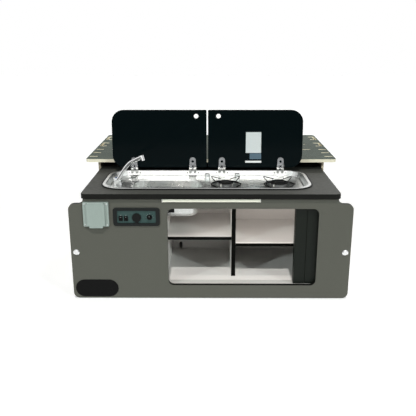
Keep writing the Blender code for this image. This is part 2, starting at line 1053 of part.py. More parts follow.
def make_tray(mats):
    """The pressed steel tray: a raised rim, a pan for the burners, and the sink bowl."""
    bm = bmesh.new()
    wall_top = rim_top - tray_steel
    outer = loft(
        bm,
        [
            at_height(tray_ring(0.0), worktop_top + seat_gap + tray_steel),
            at_height(tray_ring(rim_edge / 2), wall_top),
            at_height(tray_ring(rim_edge), rim_top),
            at_height(tray_ring(rim_width - rim_edge / 2), rim_top),
            at_height(tray_ring(rim_width), wall_top),
            at_height(tray_ring(rim_width + pan_slope - rim_edge / 2), pan_floor + rim_edge / 2),
            at_height(tray_ring(rim_width + pan_slope + rim_edge / 2), pan_floor),
        ],
    )
    bowl_floor = pan_floor - bowl_depth
    rim = bowl_ring(0.0)
    waste = circle(*waste_place(), waste_radius, len(rim))
    start = min(range(len(rim)), key=lambda i: (waste[i] - rim[0]).length)
    waste = waste[start:] + waste[:start]
    bowl = loft(
        bm,
        [
            at_height(bowl_ring(-rim_edge), pan_floor),
            at_height(bowl_ring(0.0), pan_floor - rim_edge),
            at_height(bowl_ring(bowl_draft), bowl_floor + bowl_fillet),
            at_height(bowl_ring(bowl_draft + bowl_fillet / 3), bowl_floor + bowl_fillet / 3),
            at_height(bowl_ring(bowl_draft + bowl_fillet), bowl_floor),
            at_height(waste, bowl_floor),
        ],
    )
    edges = ring_edges(bm, outer[-1]) + ring_edges(bm, bowl[0])
    bmesh.ops.triangle_fill(bm, edges=edges, use_beauty=True, use_dissolve=False)
    bmesh.ops.recalc_face_normals(bm, faces=bm.faces)
    mesh = bpy.data.meshes.new("hob_sink_tray")
    bm.to_mesh(mesh)
    bm.free()
    if mesh.polygons[0].normal.z < 0:
        mesh.flip_normals()
    tray = smooth(add("hob_sink_tray", mesh, mats["steel"]))
    solid = tray.modifiers.new("sheet", "SOLIDIFY")
    solid.thickness = tray_steel
    solid.offset = -1.0
    for side, places in hinge_places().items():
        for place, x in zip(("outer", "inner"), places):
            add_bracket(tray, f"{side}_{place}", x)
    for i, (x, depth) in enumerate(knob_places):
        valve = cylinder(
            f"gas_valve_{i + 1}",
            valve_radius,
            (x, back(depth), pan_floor - valve_length),
            (x, back(depth), pan_floor - tray_steel / 2),
            None,
            20,
        )
        unite(tray, valve)
    return tray


def add_bracket(tray, label, x):
    """A lid hinge's bracket: a foot on the pan, two legs up the pan's rear wall, and a knuckle on each leg."""
    half, web, sunk = hinge_width / 2, hinge_web / 2, tray_steel / 2
    foot_top = pan_floor + hinge_foot
    wall_head = back(tray_rear) - rim_width
    wall_foot = wall_head - pan_slope + rim_edge / 2
    wall_base = wall_head - pan_slope - rim_edge / 2
    slope = (rim_top - tray_steel - pan_floor - rim_edge / 2) / (wall_head - wall_foot)

    def on_wall(y, forward):
        """The height on the wall's face, moved forward by this much."""
        return pan_floor + rim_edge / 2 + (y + forward - wall_foot) * slope

    foot = box(
        f"bracket_foot_{label}",
        (x - half, hinge_y - hinge_foot_reach, pan_floor - sunk),
        (x + half, wall_base + seat_gap, foot_top),
        None,
    )
    unite(tray, foot)
    barrel = hinge_width * hinge_barrel_share / 2 + seat_gap
    toe = wall_base - hinge_foot
    knee = wall_foot + (foot_top - pan_floor - rim_edge / 2) / slope - hinge_foot
    outline = [
        Vector((hinge_y + hinge_knuckle_radius * math.cos(t), hinge_z + hinge_knuckle_radius * math.sin(t)))
        for t in (math.radians(-50 + 280 * i / 12) for i in range(13))
    ]
    outline += [
        Vector((hinge_y - web, on_wall(hinge_y - web, hinge_foot))),
        Vector((knee, foot_top)),
        Vector((toe, foot_top - seat_gap)),
        Vector((toe, pan_floor - sunk / 2)),
        Vector((wall_base, pan_floor - sunk / 2)),
        Vector((wall_foot + sunk, pan_floor + rim_edge / 2)),
        Vector((hinge_y + web, on_wall(hinge_y + web, -sunk))),
    ]
    for name, low, high in (("a", x - half, x - barrel), ("b", x + barrel, x + half)):
        unite(tray, prism(f"bracket_{label}_{name}", [outline], low, high, "YZ", None))


def make_hob(mats):
    """Waste, burners, caps, pan supports and gas knobs."""
    waste_x, waste_y = waste_place()
    floor = pan_floor - bowl_depth
    lip = floor + seat_gap
    neck = waste_radius - board_gap
    flange = waste_radius + 2 * rim_edge
    profile = [
        (0, floor - tray_steel),
        (neck * waste_dish_share, floor - tray_steel),
        (flange - rim_edge / 2, lip + tray_steel),
        (flange, lip),
        (neck, lip),
        (neck, floor - 3 * rim_edge),
        (neck / 2, floor - 4 * rim_edge),
        (neck / 2, floor - 9 * rim_edge),
        (0, floor - 9 * rim_edge),
    ]
    made = [turned("sink_waste", profile, (waste_x, waste_y, 0), mats["steel"], 32)]
    for side, x, cap_radius in zip(("left", "right"), burner_places, burner_cap_radii):
        made += make_burner(side, x, cap_radius, mats)
    return made


def make_burner(side, x, cap_radius, mats):
    y = back(burner_depth_place)
    base = pan_floor + seat_gap
    body_radius = cap_radius - burner_foot
    top = base + burner_body_height
    body = turned(
        f"burner_{side}",
        [
            (0, top),
            (body_radius - burner_foot, top),
            (body_radius, top - burner_foot / 2),
            (body_radius - burner_foot / 2, base + burner_foot),
            (body_radius, base),
            (0, base),
        ],
        (x, y, 0),
        mats["alloy"],
        28,
    )
    low = top + seat_gap
    high = low + burner_cap_height
    cap = turned(
        f"burner_cap_{side}",
        [
            (0, high),
            (cap_radius - burner_foot, high),
            (cap_radius, high - burner_foot / 2),
            (cap_radius, low),
            (0, low),
        ],
        (x, y, 0),
        mats["enamel"],
        28,
    )
    return [body, cap, make_support(side, x, y, base, mats["enamel"])]


def make_support(side, x, y, base, mat):
    """A pan support: a wire ring on the pan, and fingers that rise outwards and come back level over the burner."""
    low = base + wire_radius
    high = base + support_rise - wire_radius
    steps = 30
    turns = [2 * math.pi * i / steps for i in range(steps)]
    ring = [(x + support_ring_radius * math.cos(t), y + support_ring_radius * math.sin(t), low) for t in turns]
    support = tube(f"pan_support_{side}", ring, wire_radius, mat, cyclic=True, resolution=1)
    bend = 2 * wire_radius
    side_view = [
        (support_ring_radius, low),
        (support_tip_radius - bend / 2, high - bend),
        (support_tip_radius, high - bend / 4),
        (support_tip_radius - bend, high),
        (support_inner_radius, high),
    ]
    for finger in range(support_fingers):
        t = 2 * math.pi * (finger + 0.5) / support_fingers
        route = [(x + radius * math.cos(t), y + radius * math.sin(t), z) for radius, z in side_view]
        unite(support, tube(f"support_finger_{side}_{finger + 1}", route, wire_radius, None, resolution=1))
    return support


def make_knobs(mats):
    knobs = []
    for side, (x, depth) in zip(("left", "right"), knob_places):
        low = pan_floor + seat_gap
        high = low + knob_height
        skirt = knob_radius * knob_skirt_share
        skirt_edge, skirt_top = (knob_radius * share for share in knob_skirt_height_shares)
        knob = turned(
            f"gas_knob_{side}",
            [
                (0, high),
                (knob_radius * knob_top_share, high),
                (knob_radius, high - knob_radius * knob_edge_share),
                (knob_radius, low + skirt_top),
                (skirt, low + skirt_edge),
                (skirt, low),
                (0, low),
            ],
            (x, back(depth), 0),
            mats["chrome"],
            24,
        )
        knobs.append(knob)
    return knobs


def lid_outline(sign):
    """The glass of one lid, standing on its hinge line. Its large corners are on the outer side."""
    low, high = span(sign, 0.0, lid_width)
    outer = (lid_outer_radius, lid_inner_radius)
    left_radius, right_radius = outer if sign < 0 else outer[::-1]
    bottom, top = lid_edge_setback, lid_edge_setback + lid_height
    return filleted(
        [
            (low, bottom, left_radius),
            (high, bottom, right_radius),
            (high, top, right_radius),
            (low, top, left_radius),
        ],
        7,
    )


def make_lids(mats):
    """The two glass lids with their hinge leaves, leaning back in their open place."""
    made = {}
    places = hinge_places()
    for side, sign in sides():
        inner_x = tray_centre + sign * lid_gap / 2
        pivot = Vector((inner_x, hinge_y, hinge_z))
        hole = circle(
            sign * finger_hole_side, lid_edge_setback + lid_height - finger_hole_drop, finger_hole_radius, 24
        )
        glass = prism(
            f"lid_glass_{side}",
            [lid_outline(sign), hole],
            -lid_glass / 2,
            lid_glass / 2,
            "XZ",
            mats["glass"],
        )
        pieces = [glass]
        for place, x in zip(("outer", "inner"), places[side]):
            pieces.append(make_leaf(f"lid_hinge_{side}_{place}", x - inner_x, mats["chrome"]))
        for piece in pieces:
            piece.location = pivot
            piece.rotation_euler = (-lid_lean, 0, 0)
        made[side] = (pivot, pieces)
    return made


def make_leaf(name, x, mat):
    """A hinge leaf: a plate with a round head on the glass, and a barrel between the bracket's knuckles."""
    half, head = hinge_width / 2, hinge_head_width / 2
    barrel = hinge_width * hinge_barrel_share / 2
    neck = barrel - seat_gap
    rear = -lid_glass / 2 - seat_gap
    bottom = hinge_knuckle_radius + 2 * board_gap
    foot = -hinge_plate / 4
    corners = [
        (x - neck, foot, 0.0),
        (x + neck, foot, 0.0),
        (x + neck, bottom, 0.0),
        (x + half, bottom, 0.0),
        (x + half, hinge_shoulder, 0.0),
        (x + head, hinge_shoulder, 0.0),
        (x + head, hinge_plate_height, head - board_gap),
        (x - head, hinge_plate_height, head - board_gap),
        (x - head, hinge_shoulder, 0.0),
        (x - half, hinge_shoulder, 0.0),
        (x - half, bottom, 0.0),
        (x - neck, bottom, 0.0),
    ]
    holes = [
        circle(x, hinge_plate_height - hinge_hole_drop, hinge_plate_hole, 20),
        circle(x, (bottom + hinge_shoulder) / 2, hinge_low_hole, 16),
    ]
    plate = prism(name, [filleted(corners, 6), *holes], rear - hinge_plate, rear, "XZ", mat)
    knuckle = cylinder(
        name + "_barrel", hinge_knuckle_radius, (x - barrel, 0, 0), (x + barrel, 0, 0), None, 20
    )
    knuckle.parent = plate
    return unite(plate, knuckle, "MANIFOLD")


def make_tap(mats):
    """The folding tap: a round base with a boss on its front, the spout that pivots there, and the lever on top."""
    x, y = tap_place[0], back(tap_place[1])
    floor = pan_floor + seat_gap
    flange_top = floor + tap_flange_height
    body_top = floor + tap_body_height
    edge = tap_flange_height / 2
    lever_low = body_top + seat_gap
    lever_high = lever_low + lever_height
    cap_low = lever_high + seat_gap
    base = turned(
        "tap_base",
        [
            (0, cap_low + tap_cap_height),
            (tap_cap_radius - edge / 2, cap_low + tap_cap_height),
            (tap_cap_radius, cap_low + tap_cap_height - edge / 2),
            (tap_cap_radius, cap_low),
            (tap_neck_radius, cap_low),
            (tap_neck_radius, body_top),
            (tap_body_radius - edge, body_top),
            (tap_body_radius, body_top - edge),
            (tap_body_radius, flange_top),
            (tap_flange_radius - edge, flange_top),
            (tap_flange_radius, flange_top - edge),
            (tap_flange_radius, floor),
            (0, floor),
        ],
        (x, y, 0),
        mats["chrome"],
        28,
    )
    boss_rear = y - lever_ring_radius - board_gap
    boss_front = y - tap_body_radius - tap_boss_reach
    boss = cylinder(
        "tap_boss",
        tap_eye_radius,
        (x, boss_front, tap_pivot_height),
        (x, boss_rear, tap_pivot_height),
        None,
        28,
    )
    unite(base, boss)
    lever = make_lever(x, y, lever_low, lever_high, mats["chrome"])
    eye_half = tap_tube_radius + board_gap
    spout = make_spout(x, boss_front - seat_gap - eye_half, eye_half, mats["chrome"])
    return base, lever, spout


def make_lever(x, y, low, high, mat):
    inside = tap_neck_radius + board_gap
    ring = [circle(0.0, 0.0, lever_ring_radius, 28), circle(0.0, 0.0, inside, 28)]
    lever = prism("tap_lever", ring, low, high, "XY", mat)
    half = lever_width / 2
    start = (lever_ring_radius + inside) / 2
    outline = filleted(
        [
            (start, -half * lever_root_share, 0.0),
            (lever_reach, -half, half - board_gap / 2),
            (lever_reach, half, half - board_gap / 2),
            (start, half * lever_root_share, 0.0),
        ]
    )
    arm = prism("tap_lever_arm", [outline], low + board_gap, high - board_gap, "XY", None)
    arm.parent = lever
    unite(lever, arm)
    lever.location = (x, y, 0)
    lever.rotation_euler = (0, 0, lever_angle)
    return lever


def make_spout(x, y, eye_half, mat):
    """The spout: an eye on the base's boss, a bent tube and the nozzle that points down from its end."""
    bend, end = Vector(tap_bend), Vector(tap_end)
    first = bend * (1 - tap_bend_share)
    last = bend + (end - bend) * tap_bend_share
    flat = [Vector((0, 0)), first]
    for i in range(1, 5):
        t = i / 5
        flat.append(first * (1 - t) ** 2 + bend * 2 * t * (1 - t) + last * t * t)
    flat += [last, end]
    route = [(point.x, 0, point.y) for point in flat]
    spout = tube("tap_spout", route, tap_tube_radius, mat, resolution=3)
    eye = cylinder("tap_eye", tap_eye_radius, (0, -eye_half, 0), (0, eye_half, 0), None, 28)
    down = Vector((nozzle_slant, 0, -1)).normalized() * nozzle_length
    tip = Vector((end.x, 0, end.y))
    nozzle = cylinder(
        "tap_nozzle",
        nozzle_radius,
        tip - down * nozzle_top_share,
        tip + down * (1 - nozzle_top_share),
        None,
        24,
    )
    for piece in (eye, nozzle):
        piece.parent = spout
        unite(spout, piece)
    spout.location = (x, y, tap_pivot_height)
    return spout


def make_locks(mats):
    """A push-lock knob on each ear: a round head, and a shaft through the fascia."""
    locks = []
    for side, sign in sides():
        x = sign * lock_place
        head = lock_head_proud
        profile = [
            (0, head),
            (lock_head_radius * lock_crown_shares[0], head),
            (lock_head_radius, head * lock_crown_shares[1]),
            (lock_head_radius, seat_gap),
            (lock_shaft_radius, seat_gap),
            (lock_shaft_radius, -fascia_thickness - lock_rear_reach),
            (0, -fascia_thickness - lock_rear_reach),
        ]
        locks.append(
            turned(
                f"lock_knob_{side}", profile, (x, fascia_front, lock_height), mats["chrome"], 28, True
            )
        )
    return locks


def make_light(mats):
    """The strip light under the worktop's edge."""
    half = light_height / 2
    light = box(
        "strip_light",
        (light_left, fascia_front - seat_gap - light_proud, light_centre_height - half),
        (light_left + light_length, fascia_front - seat_gap, light_centre_height + half),
        mats["lamp"],
    )
    return rounded(light, light_proud / 3, 2)


def make_socket(mats):
    """The inlet socket: a base with a recess and pins, and the flap hinged at its top."""
    front = fascia_front - seat_gap - socket_proud
    rear = fascia_front - seat_gap
    right, top = socket_left + socket_width, socket_bottom + socket_height
    base = prism(
        "socket_base",
        [rectangle(socket_left, socket_bottom, right, top, socket_corner, 3)],
        front,
        rear,
        "XZ",
        mats["grey_plastic"],
    )
    middle_x = flap_left + flap_width / 2
    middle_z = socket_bottom + socket_height / 2
    half_width, half_height = socket_recess_width / 2, socket_recess_height / 2
    cup_rear = front + socket_recess_depth
    wall = socket_wall
    cup = prism(
        "socket_cup",
        [
            rectangle(
                middle_x - half_width - wall,
                middle_z - half_height - wall,
                middle_x + half_width + wall,
                middle_z + half_height + wall,
                socket_corner,
                3,
            )
        ],
        rear - socket_proud / 2,
        cup_rear + wall,
        "XZ",
        None,
    )
    unite(base, cup)
    recess = prism(
        "socket_recess",
        [
            rectangle(
                middle_x - half_width,
                middle_z - half_height,
                middle_x + half_width,
                middle_z + half_height,
                socket_corner / 2,
                3,
            )
        ],
        front - overrun,
        cup_rear,
        "XZ",
        None,
    )
    cut(base, recess)
    for i in range(3):
        turn = math.radians(90 + 120 * i)
        pin_x = middle_x + socket_pin_circle * math.cos(turn)
        pin_z = middle_z + socket_pin_circle * math.sin(turn)
        pin = cylinder(
            f"socket_pin_{i + 1}",
            socket_pin_radius,
            (pin_x, cup_rear + wall / 2, pin_z),
            (pin_x, cup_rear - socket_pin_length, pin_z),
            None,
            12,
        )
        unite(base, pin)
    return base, make_flap(front, top, mats)


def make_flap(front, top, mats):
    """The sprung flap, with a barrel at its top edge and a finger lip at its foot."""
    rear = front - seat_gap
    face = rear - flap_thickness
    axis_z = top - flap_barrel_radius
    axis_y = rear - flap_barrel_radius
    left, right = flap_left, flap_left + flap_width
    bottom = socket_bottom - flap_lip / 2
    lip_inset = flap_width / 8
    corners = [
        (left + lip_inset, bottom, flap_corner / 2),
        (right - lip_inset, bottom, flap_corner / 2),
        (right - lip_inset, bottom + flap_lip, 0.0),
        (right, bottom + flap_lip, flap_corner / 3),
        (right, axis_z - flap_barrel_radius / 2, 0.0),
        (left, axis_z - flap_barrel_radius / 2, 0.0),
        (left, bottom + flap_lip, flap_corner / 3),
        (left + lip_inset, bottom + flap_lip, 0.0),
    ]
    flap = prism("socket_flap", [filleted(corners, 3)], face, rear - seat_gap, "XZ", mats["grey_plastic"])
    barrel = cylinder(
        "flap_barrel",
        flap_barrel_radius,
        (left + flap_corner, axis_y, axis_z - seat_gap),
        (right - flap_corner, axis_y, axis_z - seat_gap),
        None,
        20,
    )
    unite(flap, barrel, "MANIFOLD")
    return origin_at(flap, ((left + right) / 2, axis_y, axis_z - seat_gap))


def panel_centre():
    return panel_left + panel_width / 2, panel_bottom + panel_height / 2


def make_panel(mats):
    """The control panel: a bezel round a sunk plate, with places for the switches and the low-voltage socket."""
    x, z = panel_centre()
    front = fascia_front - seat_gap - panel_proud
    rear = fascia_front - seat_gap
    plate = front + panel_recess
    panel = prism(
        "control_panel",
        [
            rectangle(
                panel_left,
                panel_bottom,
                panel_left + panel_width,
                panel_bottom + panel_height,
                panel_radius,
                5,
            )
        ],
        front,
        rear,
        "XZ",
        mats["black"],
    )
    rounded(panel, edge_round)
    half_width = panel_width / 2 - panel_body_margin
    half_height = panel_height / 2 - panel_body_margin
    body = prism(
        "panel_body",
        [
            rectangle(
                x - half_width, z - half_height, x + half_width, z + half_height, panel_recess_radius, 3
            )
        ],
        rear - panel_proud / 4,
        front + panel_body_depth,
        "XZ",
        None,
    )
    unite(panel, body)
    recess = prism(
        "panel_recess",
        [
            rectangle(
                x - panel_recess_width / 2,
                z - panel_recess_height / 2,
                x + panel_recess_width / 2,
                z + panel_recess_height / 2,
                panel_recess_radius,
                4,
            )
        ],
        front - overrun,
        plate,
        "XZ",
        None,
    )
    cut(panel, recess)
    rockers = []
    pocket = rocker_thickness - rocker_proud + rocker_clearance
    for i, rocker_x in enumerate(rocker_places):
        width, height = rocker_width / 2 + rocker_clearance / 2, rocker_height / 2 + rocker_clearance
        well = box(
            f"rocker_well_{i + 1}",
            (rocker_x - width, plate - overrun, rocker_centre_height - height),
            (rocker_x + width, plate + pocket, rocker_centre_height + height),
            None,
        )
        cut(panel, well)
        rockers.append(make_rocker(i, rocker_x, plate, mats["gloss_black"]))
    power_x, power_z = power_socket_place
    bore = cylinder(
        "power_bore",
        power_bore_radius,
        (power_x, plate - overrun, power_z),
        (power_x, plate + power_bore_depth - rim_edge, power_z),
        None,
        28,
    )
    cut(panel, bore)
    return panel, rockers, make_cap(plate, mats["black"]), make_selector(plate, mats["gloss_black"])


def make_rocker(index, x, plate, mat):
    """A rocker switch key, bent in the middle, on a pivot along X."""
    half = rocker_height / 2
    dip = rocker_proud * rocker_dip_share
    front = plate - rocker_proud
    side = front + rocker_thickness * rocker_side_share
    section = [
        Vector((front, -half)),
        Vector((front + dip, 0.0)),
        Vector((front, half)),
        Vector((side, half)),
        Vector((front + rocker_thickness - rocker_clearance, 0.0)),
        Vector((side, -half)),
    ]
    outline = [Vector((point.x, point.y + rocker_centre_height)) for point in section]
    rocker = prism(
        f"rocker_{index + 1}", [outline], x - rocker_width / 2, x + rocker_width / 2, "YZ", mat
    )
    return origin_at(rocker, (x, plate, rocker_centre_height))


def make_cap(plate, mat):
    """The cap of the low-voltage socket: a disc with a lift tab at its foot, hinged at its top."""
    x, z = power_socket_place
    rear = plate - seat_gap
    tab = power_cap_tab_width / 2
    start = math.asin(tab / power_cap_radius) - math.pi / 2
    arc = [start + (2 * math.pi - 2 * (start + math.pi / 2)) * i / 30 for i in range(31)]
    outline = [Vector((x + power_cap_radius * math.cos(t), z + power_cap_radius * math.sin(t))) for t in arc]
    foot = z - power_cap_radius - power_cap_tab
    outline += [Vector((x - tab, foot)), Vector((x + tab, foot))]
    cap = prism("power_socket_cap", [outline], rear - power_cap_thickness, rear, "XZ", mat)
    rounded(cap, edge_round / 2)
    return origin_at(cap, (x, rear - power_cap_thickness / 2, z + power_cap_radius))


def make_selector(plate, mat):
    """The round selector, with a grip bar across its face."""
    x, z = selector_place
    low = seat_gap
    high = selector_proud
    collar = high * selector_collar_share
    edge_radius, edge_height = selector_radius * selector_edge_shares[0], collar * selector_edge_shares[1]
    selector = turned(
        "selector",
        [
            (0, collar),
            (edge_radius, collar),
            (selector_radius, edge_height),
            (selector_radius, low),
            (0, low),
        ],
        (x, plate, z),
        mat,
        28,
        True,
    )
    half = selector_radius * selector_grip_share
    grip = box(
        "selector_grip",
        (x - half, plate - high, z - selector_radius / 4),
        (x + half, plate - collar / 2, z + selector_radius / 4),
        None,
    )
    return unite(selector, grip)


def make_lead(mats):
    """The wiring lead along the back of the top track, with a sag between its clips."""
    y = carcass_front + track_depth() + seat_gap + lead_radius
    clip = opening_top + 2 * lead_radius
    panel_x, panel_z = panel_centre()
    panel_back = fascia_front - seat_gap - panel_proud + panel_body_depth + seat_gap
    leave = panel_x + panel_width * lead_leave_share
    across = opening_right - opening_left
    catch_end = opening_left + catch_width + 3 * lead_radius
    behind = y + 3 * track_wall
    places = [
        (leave, panel_back, panel_z),
        (leave, panel_back + 6 * lead_radius, panel_z),
        (opening_left - catch_width, behind, clip + lead_rise),
        (catch_end, behind, clip + lead_rise),
    ]
    for share, drop in lead_hang_shares:
        places.append((opening_left + across * share, y, clip - lead_sag * drop))
    places += [
        (opening_left + across * lead_end_share, y, clip + lead_rise),
        (carcass_inner - seat_gap, y, clip + lead_rise),
    ]
    return tube("wiring_lead", smooth_route(places, 5), lead_radius, mats["white"], resolution=1)


def make_all():
    clear_scene()
    mats = {
        "ply": material("birch_ply", (0.70, 0.55, 0.36), 0.6),
        "deck": material("coated_ply", (0.16, 0.18, 0.17), 0.65),
        "laminate": material("grey_laminate", (0.117, 0.120, 0.102), 0.55),
        "board": material("pale_board", (0.72, 0.69, 0.66), 0.6),
        "steel": material("pressed_steel", (0.72, 0.73, 0.72), 0.22, 1.0),
        "chrome": material("bright_chrome", (0.85, 0.86, 0.86), 0.08, 1.0),
        "alloy": material("plain_alloy", (0.62, 0.63, 0.63), 0.35, 1.0),
        "zinc": material("zinc_plated_steel", (0.55, 0.57, 0.58), 0.35, 1.0),
        "enamel": material("black_enamel", (0.012, 0.012, 0.013), 0.35),
        "glass": material("black_glass", (0.006, 0.012, 0.013), 0.05),
        "black": material("black_plastic", (0.012, 0.013, 0.012), 0.5),
        "gloss_black": material("gloss_black_plastic", (0.008, 0.008, 0.008), 0.25),
        "grey_plastic": material("grey_plastic", (0.36, 0.42, 0.38), 0.45),
        "shutter": material("dark_shutter", (0.014, 0.020, 0.014), 0.5),
        "track": material("pale_track", (0.60, 0.58, 0.55), 0.5),
        "lamp": material("lamp_cover", (0.80, 0.78, 0.68), 0.35),
        "white": material("white_sheath", (0.80, 0.79, 0.74), 0.5),
    }
    make_case(mats)
    make_deck(mats)
    runners = make_runners(mats)
    fascia = make_fascia(mats)
    worktop = make_worktop(mats)
    carcass = make_carcass(mats)
    track_low, track_high, leaves = make_shutter(mats)
    tray = make_tray(mats)
    hob = make_hob(mats)
    knobs = make_knobs(mats)
    lids = make_lids(mats)
    tap_base, lever, spout = make_tap(mats)
    locks = make_locks(mats)
    light = make_light(mats)
    socket, flap = make_socket(mats)
    panel, rockers, cap, selector = make_panel(mats)
    lead = make_lead(mats)

    slide = joint("kitchen_slide", (0, fascia_front, runner_centre_height))
    stage = joint("runner_stage_slide", (0, back(case_front), runner_centre_height))
    carry(stage, runners["middle", "left"], runners["middle", "right"])
    carry(slide, fascia, worktop, *carcass, runners["inner", "left"], runners["inner", "right"])
    carry(slide, tray, *hob, tap_base, track_low, track_high, light, socket, panel, lead)
    carry(slide, *leaves, *knobs, *locks, flap, *rockers, cap, selector, lever, spout)
    for side, (pivot, pieces) in lids.items():
        hinge = joint(f"lid_hinge_{side}", pivot)
        carry(hinge, *pieces)
        carry(slide, hinge)


make_all()
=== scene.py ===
"""Looks of the campervan kitchen pod: finishes, small fittings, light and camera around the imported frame.

Everything is in metres in the frame of the CAD part: X along the front, Y from the fascia back, Z up. Places
are worked out from the boxes of the CAD nodes that a piece sits on.
"""

import json
import math

import bpy
from mathutils import Matrix, Vector


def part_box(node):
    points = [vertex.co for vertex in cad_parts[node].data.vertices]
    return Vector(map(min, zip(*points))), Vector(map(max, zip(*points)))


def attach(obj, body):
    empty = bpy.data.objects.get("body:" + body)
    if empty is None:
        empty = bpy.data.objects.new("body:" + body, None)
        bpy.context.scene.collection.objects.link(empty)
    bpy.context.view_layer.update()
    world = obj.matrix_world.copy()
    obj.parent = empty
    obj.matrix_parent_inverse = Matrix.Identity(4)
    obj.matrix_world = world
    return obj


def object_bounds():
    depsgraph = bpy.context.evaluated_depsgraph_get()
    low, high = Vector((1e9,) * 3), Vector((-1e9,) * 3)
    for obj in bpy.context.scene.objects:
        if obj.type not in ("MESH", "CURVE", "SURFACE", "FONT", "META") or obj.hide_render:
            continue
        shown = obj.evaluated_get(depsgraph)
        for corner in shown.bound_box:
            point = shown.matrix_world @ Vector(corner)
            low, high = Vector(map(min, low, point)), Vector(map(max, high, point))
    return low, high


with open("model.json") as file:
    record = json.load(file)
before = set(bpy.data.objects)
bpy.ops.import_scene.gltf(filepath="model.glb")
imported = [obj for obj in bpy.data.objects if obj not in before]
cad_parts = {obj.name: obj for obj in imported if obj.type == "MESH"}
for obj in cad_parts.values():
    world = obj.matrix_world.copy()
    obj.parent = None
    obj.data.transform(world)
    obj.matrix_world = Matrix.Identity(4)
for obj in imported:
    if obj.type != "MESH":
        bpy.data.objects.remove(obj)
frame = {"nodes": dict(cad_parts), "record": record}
cad_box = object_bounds()

FRONT = math.pi / 2

# Photograph's camera, fitted to the object's edges
camera_place = (0.0054, -2.83025, 1.1078)
camera_tilt = math.radians(73.046)
camera_roll = 0.0007
camera_turn = 0.00686
camera_lens = 50.89
camera_sensor = 36.0

# Light: one sun high in front, one low on each side and a weak one behind. Each has its turn from the front
# and its height, both in degrees, its strength and its colour
world_strength = 0.12
mirror_low, mirror_high = 0.22, 1.0
floor_reach = 12.0
floor_glow = 0.45
sun_width = math.radians(2.6)
suns = {
    "high": (0.0, 59.0, 1.48, (1.0, 0.98, 0.95)),
    "left": (-45.0, 21.0, 0.90, (0.90, 1.0, 0.98)),
    "right": (45.0, 21.0, 0.90, (0.90, 1.0, 0.98)),
    "back": (160.0, 38.0, 0.45, (1.0, 0.99, 0.97)),
}
shelf_lamp_power = 0.50
shelf_lamp_colour = (1.0, 0.93, 0.88)

shelf_lamp_depth = 0.02

# Sizes that several fittings share
soft_edge = 0.0004
film_gap = 0.0001
rim_height = 0.006

# Screws, sealing ring and rim clips
screw_radius = 0.0030
screw_height = 0.0011
cross_reach_share = 0.68
cross_width_share = 0.24
recess_floor_share = 0.94
seal_width = 0.0030
seal_top = 0.0056
seal_lap = 0.0002
rim_corner = 0.095
corner_steps = 14
clip_places = {"left": -0.4258, "right": 0.3912}
clip_reach = 0.006
clip_half_width = 0.0045
clip_corner = 0.002
clip_thickness = 0.0016
clip_setback = 0.028
clip_lift = 0.0006

# Lids: how they lean, their glass, and the grommet in each finger hole, placed from the hinge's pin
lid_lean = math.radians(4.0)
lid_glass = 0.005
hinge_pin_setback = 0.00535
hinge_pin_rise = 0.004
finger_hole = (0.0479, 0.2408)
grommet_outer = 0.0124
grommet_inner = 0.0104
grommet_proud = 0.0009
grommet_wall = 0.0004
grommet_round = 0.0006
lid_bevel = 0.0022
hinge_bevel = 0.0007

# Blank sticker's sheets on the right lid: left, low, right and high in the lid's own frame
blank_sheets = {
    "pale": (0.1743, 0.0725, 0.2446, 0.1681),
    "blue": (0.1928, 0.0435, 0.2455, 0.0705),
    "white": (0.1724, 0.0268, 0.2470, 0.0361),
}
sheet_corner = 0.0015
sheet_thickness = 0.0002

# Screws and dark bars at the hinges, on the pan's sloping rear wall
pan_wall_turn = math.radians(62.6)
hinge_screw_radius = 0.0026
hinge_screw_side = 0.026
hinge_screw_setback = 0.0061
hinge_screw_drop = 0.0175
bar_reach = 0.0185
bar_half_width = 0.002
bar_corner = 0.0018
bar_thickness = 0.0024
bar_advance = 0.0105
bar_drop = 0.0265

# Burners: a toothed ring of ports, and an igniter in front
port_count = 30
tooth_points = 4
tooth_proud = 0.0012
tooth_dip = 0.0004
port_ring_width = 0.0022
port_ring_height = 0.0042
port_ring_bevel = 0.0002
port_ring_drop = 0.0030
igniter_gap = 0.0065
igniter_turn = math.radians(38)
igniter_sleeve = [(0.0, 0.0088), (0.0016, 0.0088), (0.0024, 0.0078), (0.0024, 0.0), (0.0, 0.0)]
igniter_pin = [(0.0, 0.0128), (0.0006, 0.0122), (0.0006, 0.008), (0.0, 0.008)]

# Fascia: bare plate (left, low, right and high), inlet screws, panel marks and strip light's caps
blank_plate = (-0.575, 0.010, -0.393, 0.088)
blank_plate_thickness = 0.002
blank_plate_bevel = 0.0005
inlet_screw_margin = 0.0075
panel_field_depth = 0.0045
panel_bezel_edge = (0.0016, 0.0020)
mark_thickness = 0.0003
raised_mark_thickness = 0.0006
rocker_bar_reach = 0.0026
rocker_bar_heights = (0.0036, 0.0046)
rocker_spot = (0.0024, 0.0006)
rocker_spot_setback = 0.0004
rocker_spot_drop = 0.0036
dial_mark_count = 7
dial_mark_step = 30
dial_mark_radii = (0.0132, 0.0158)
dial_mark_half_width = 0.0004
pointer_half_width = 0.0005
pointer_ends = (0.0035, 0.0075)
panel_screw_radius = 0.0022
panel_screw_side = 0.008
panel_screw_margin = 0.006
strip_cap_half_width = 0.0024
strip_cap_inset = 0.002
strip_cap_proud = 0.0003
strip_cap_cover = 0.0002
strip_cap_corner = 0.001

# Tap's cold ring: its section from the tap's axis
cold_ring = [(0.0090, 0.0), (0.0112, 0.0), (0.0112, 0.0006), (0.0090, 0.0006)]


def node(mat, kind, inputs=None, **settings):
    """A new shader node. An input given as a socket is linked, and any other is set."""
    made = mat.node_tree.nodes.new(kind)
    for key, value in settings.items():
        setattr(made, key, value)
    for key, value in (inputs or {}).items():
        if isinstance(value, bpy.types.NodeSocket):
            mat.node_tree.links.new(value, made.inputs[key])
        else:
            made.inputs[key].default_value = value
    return made


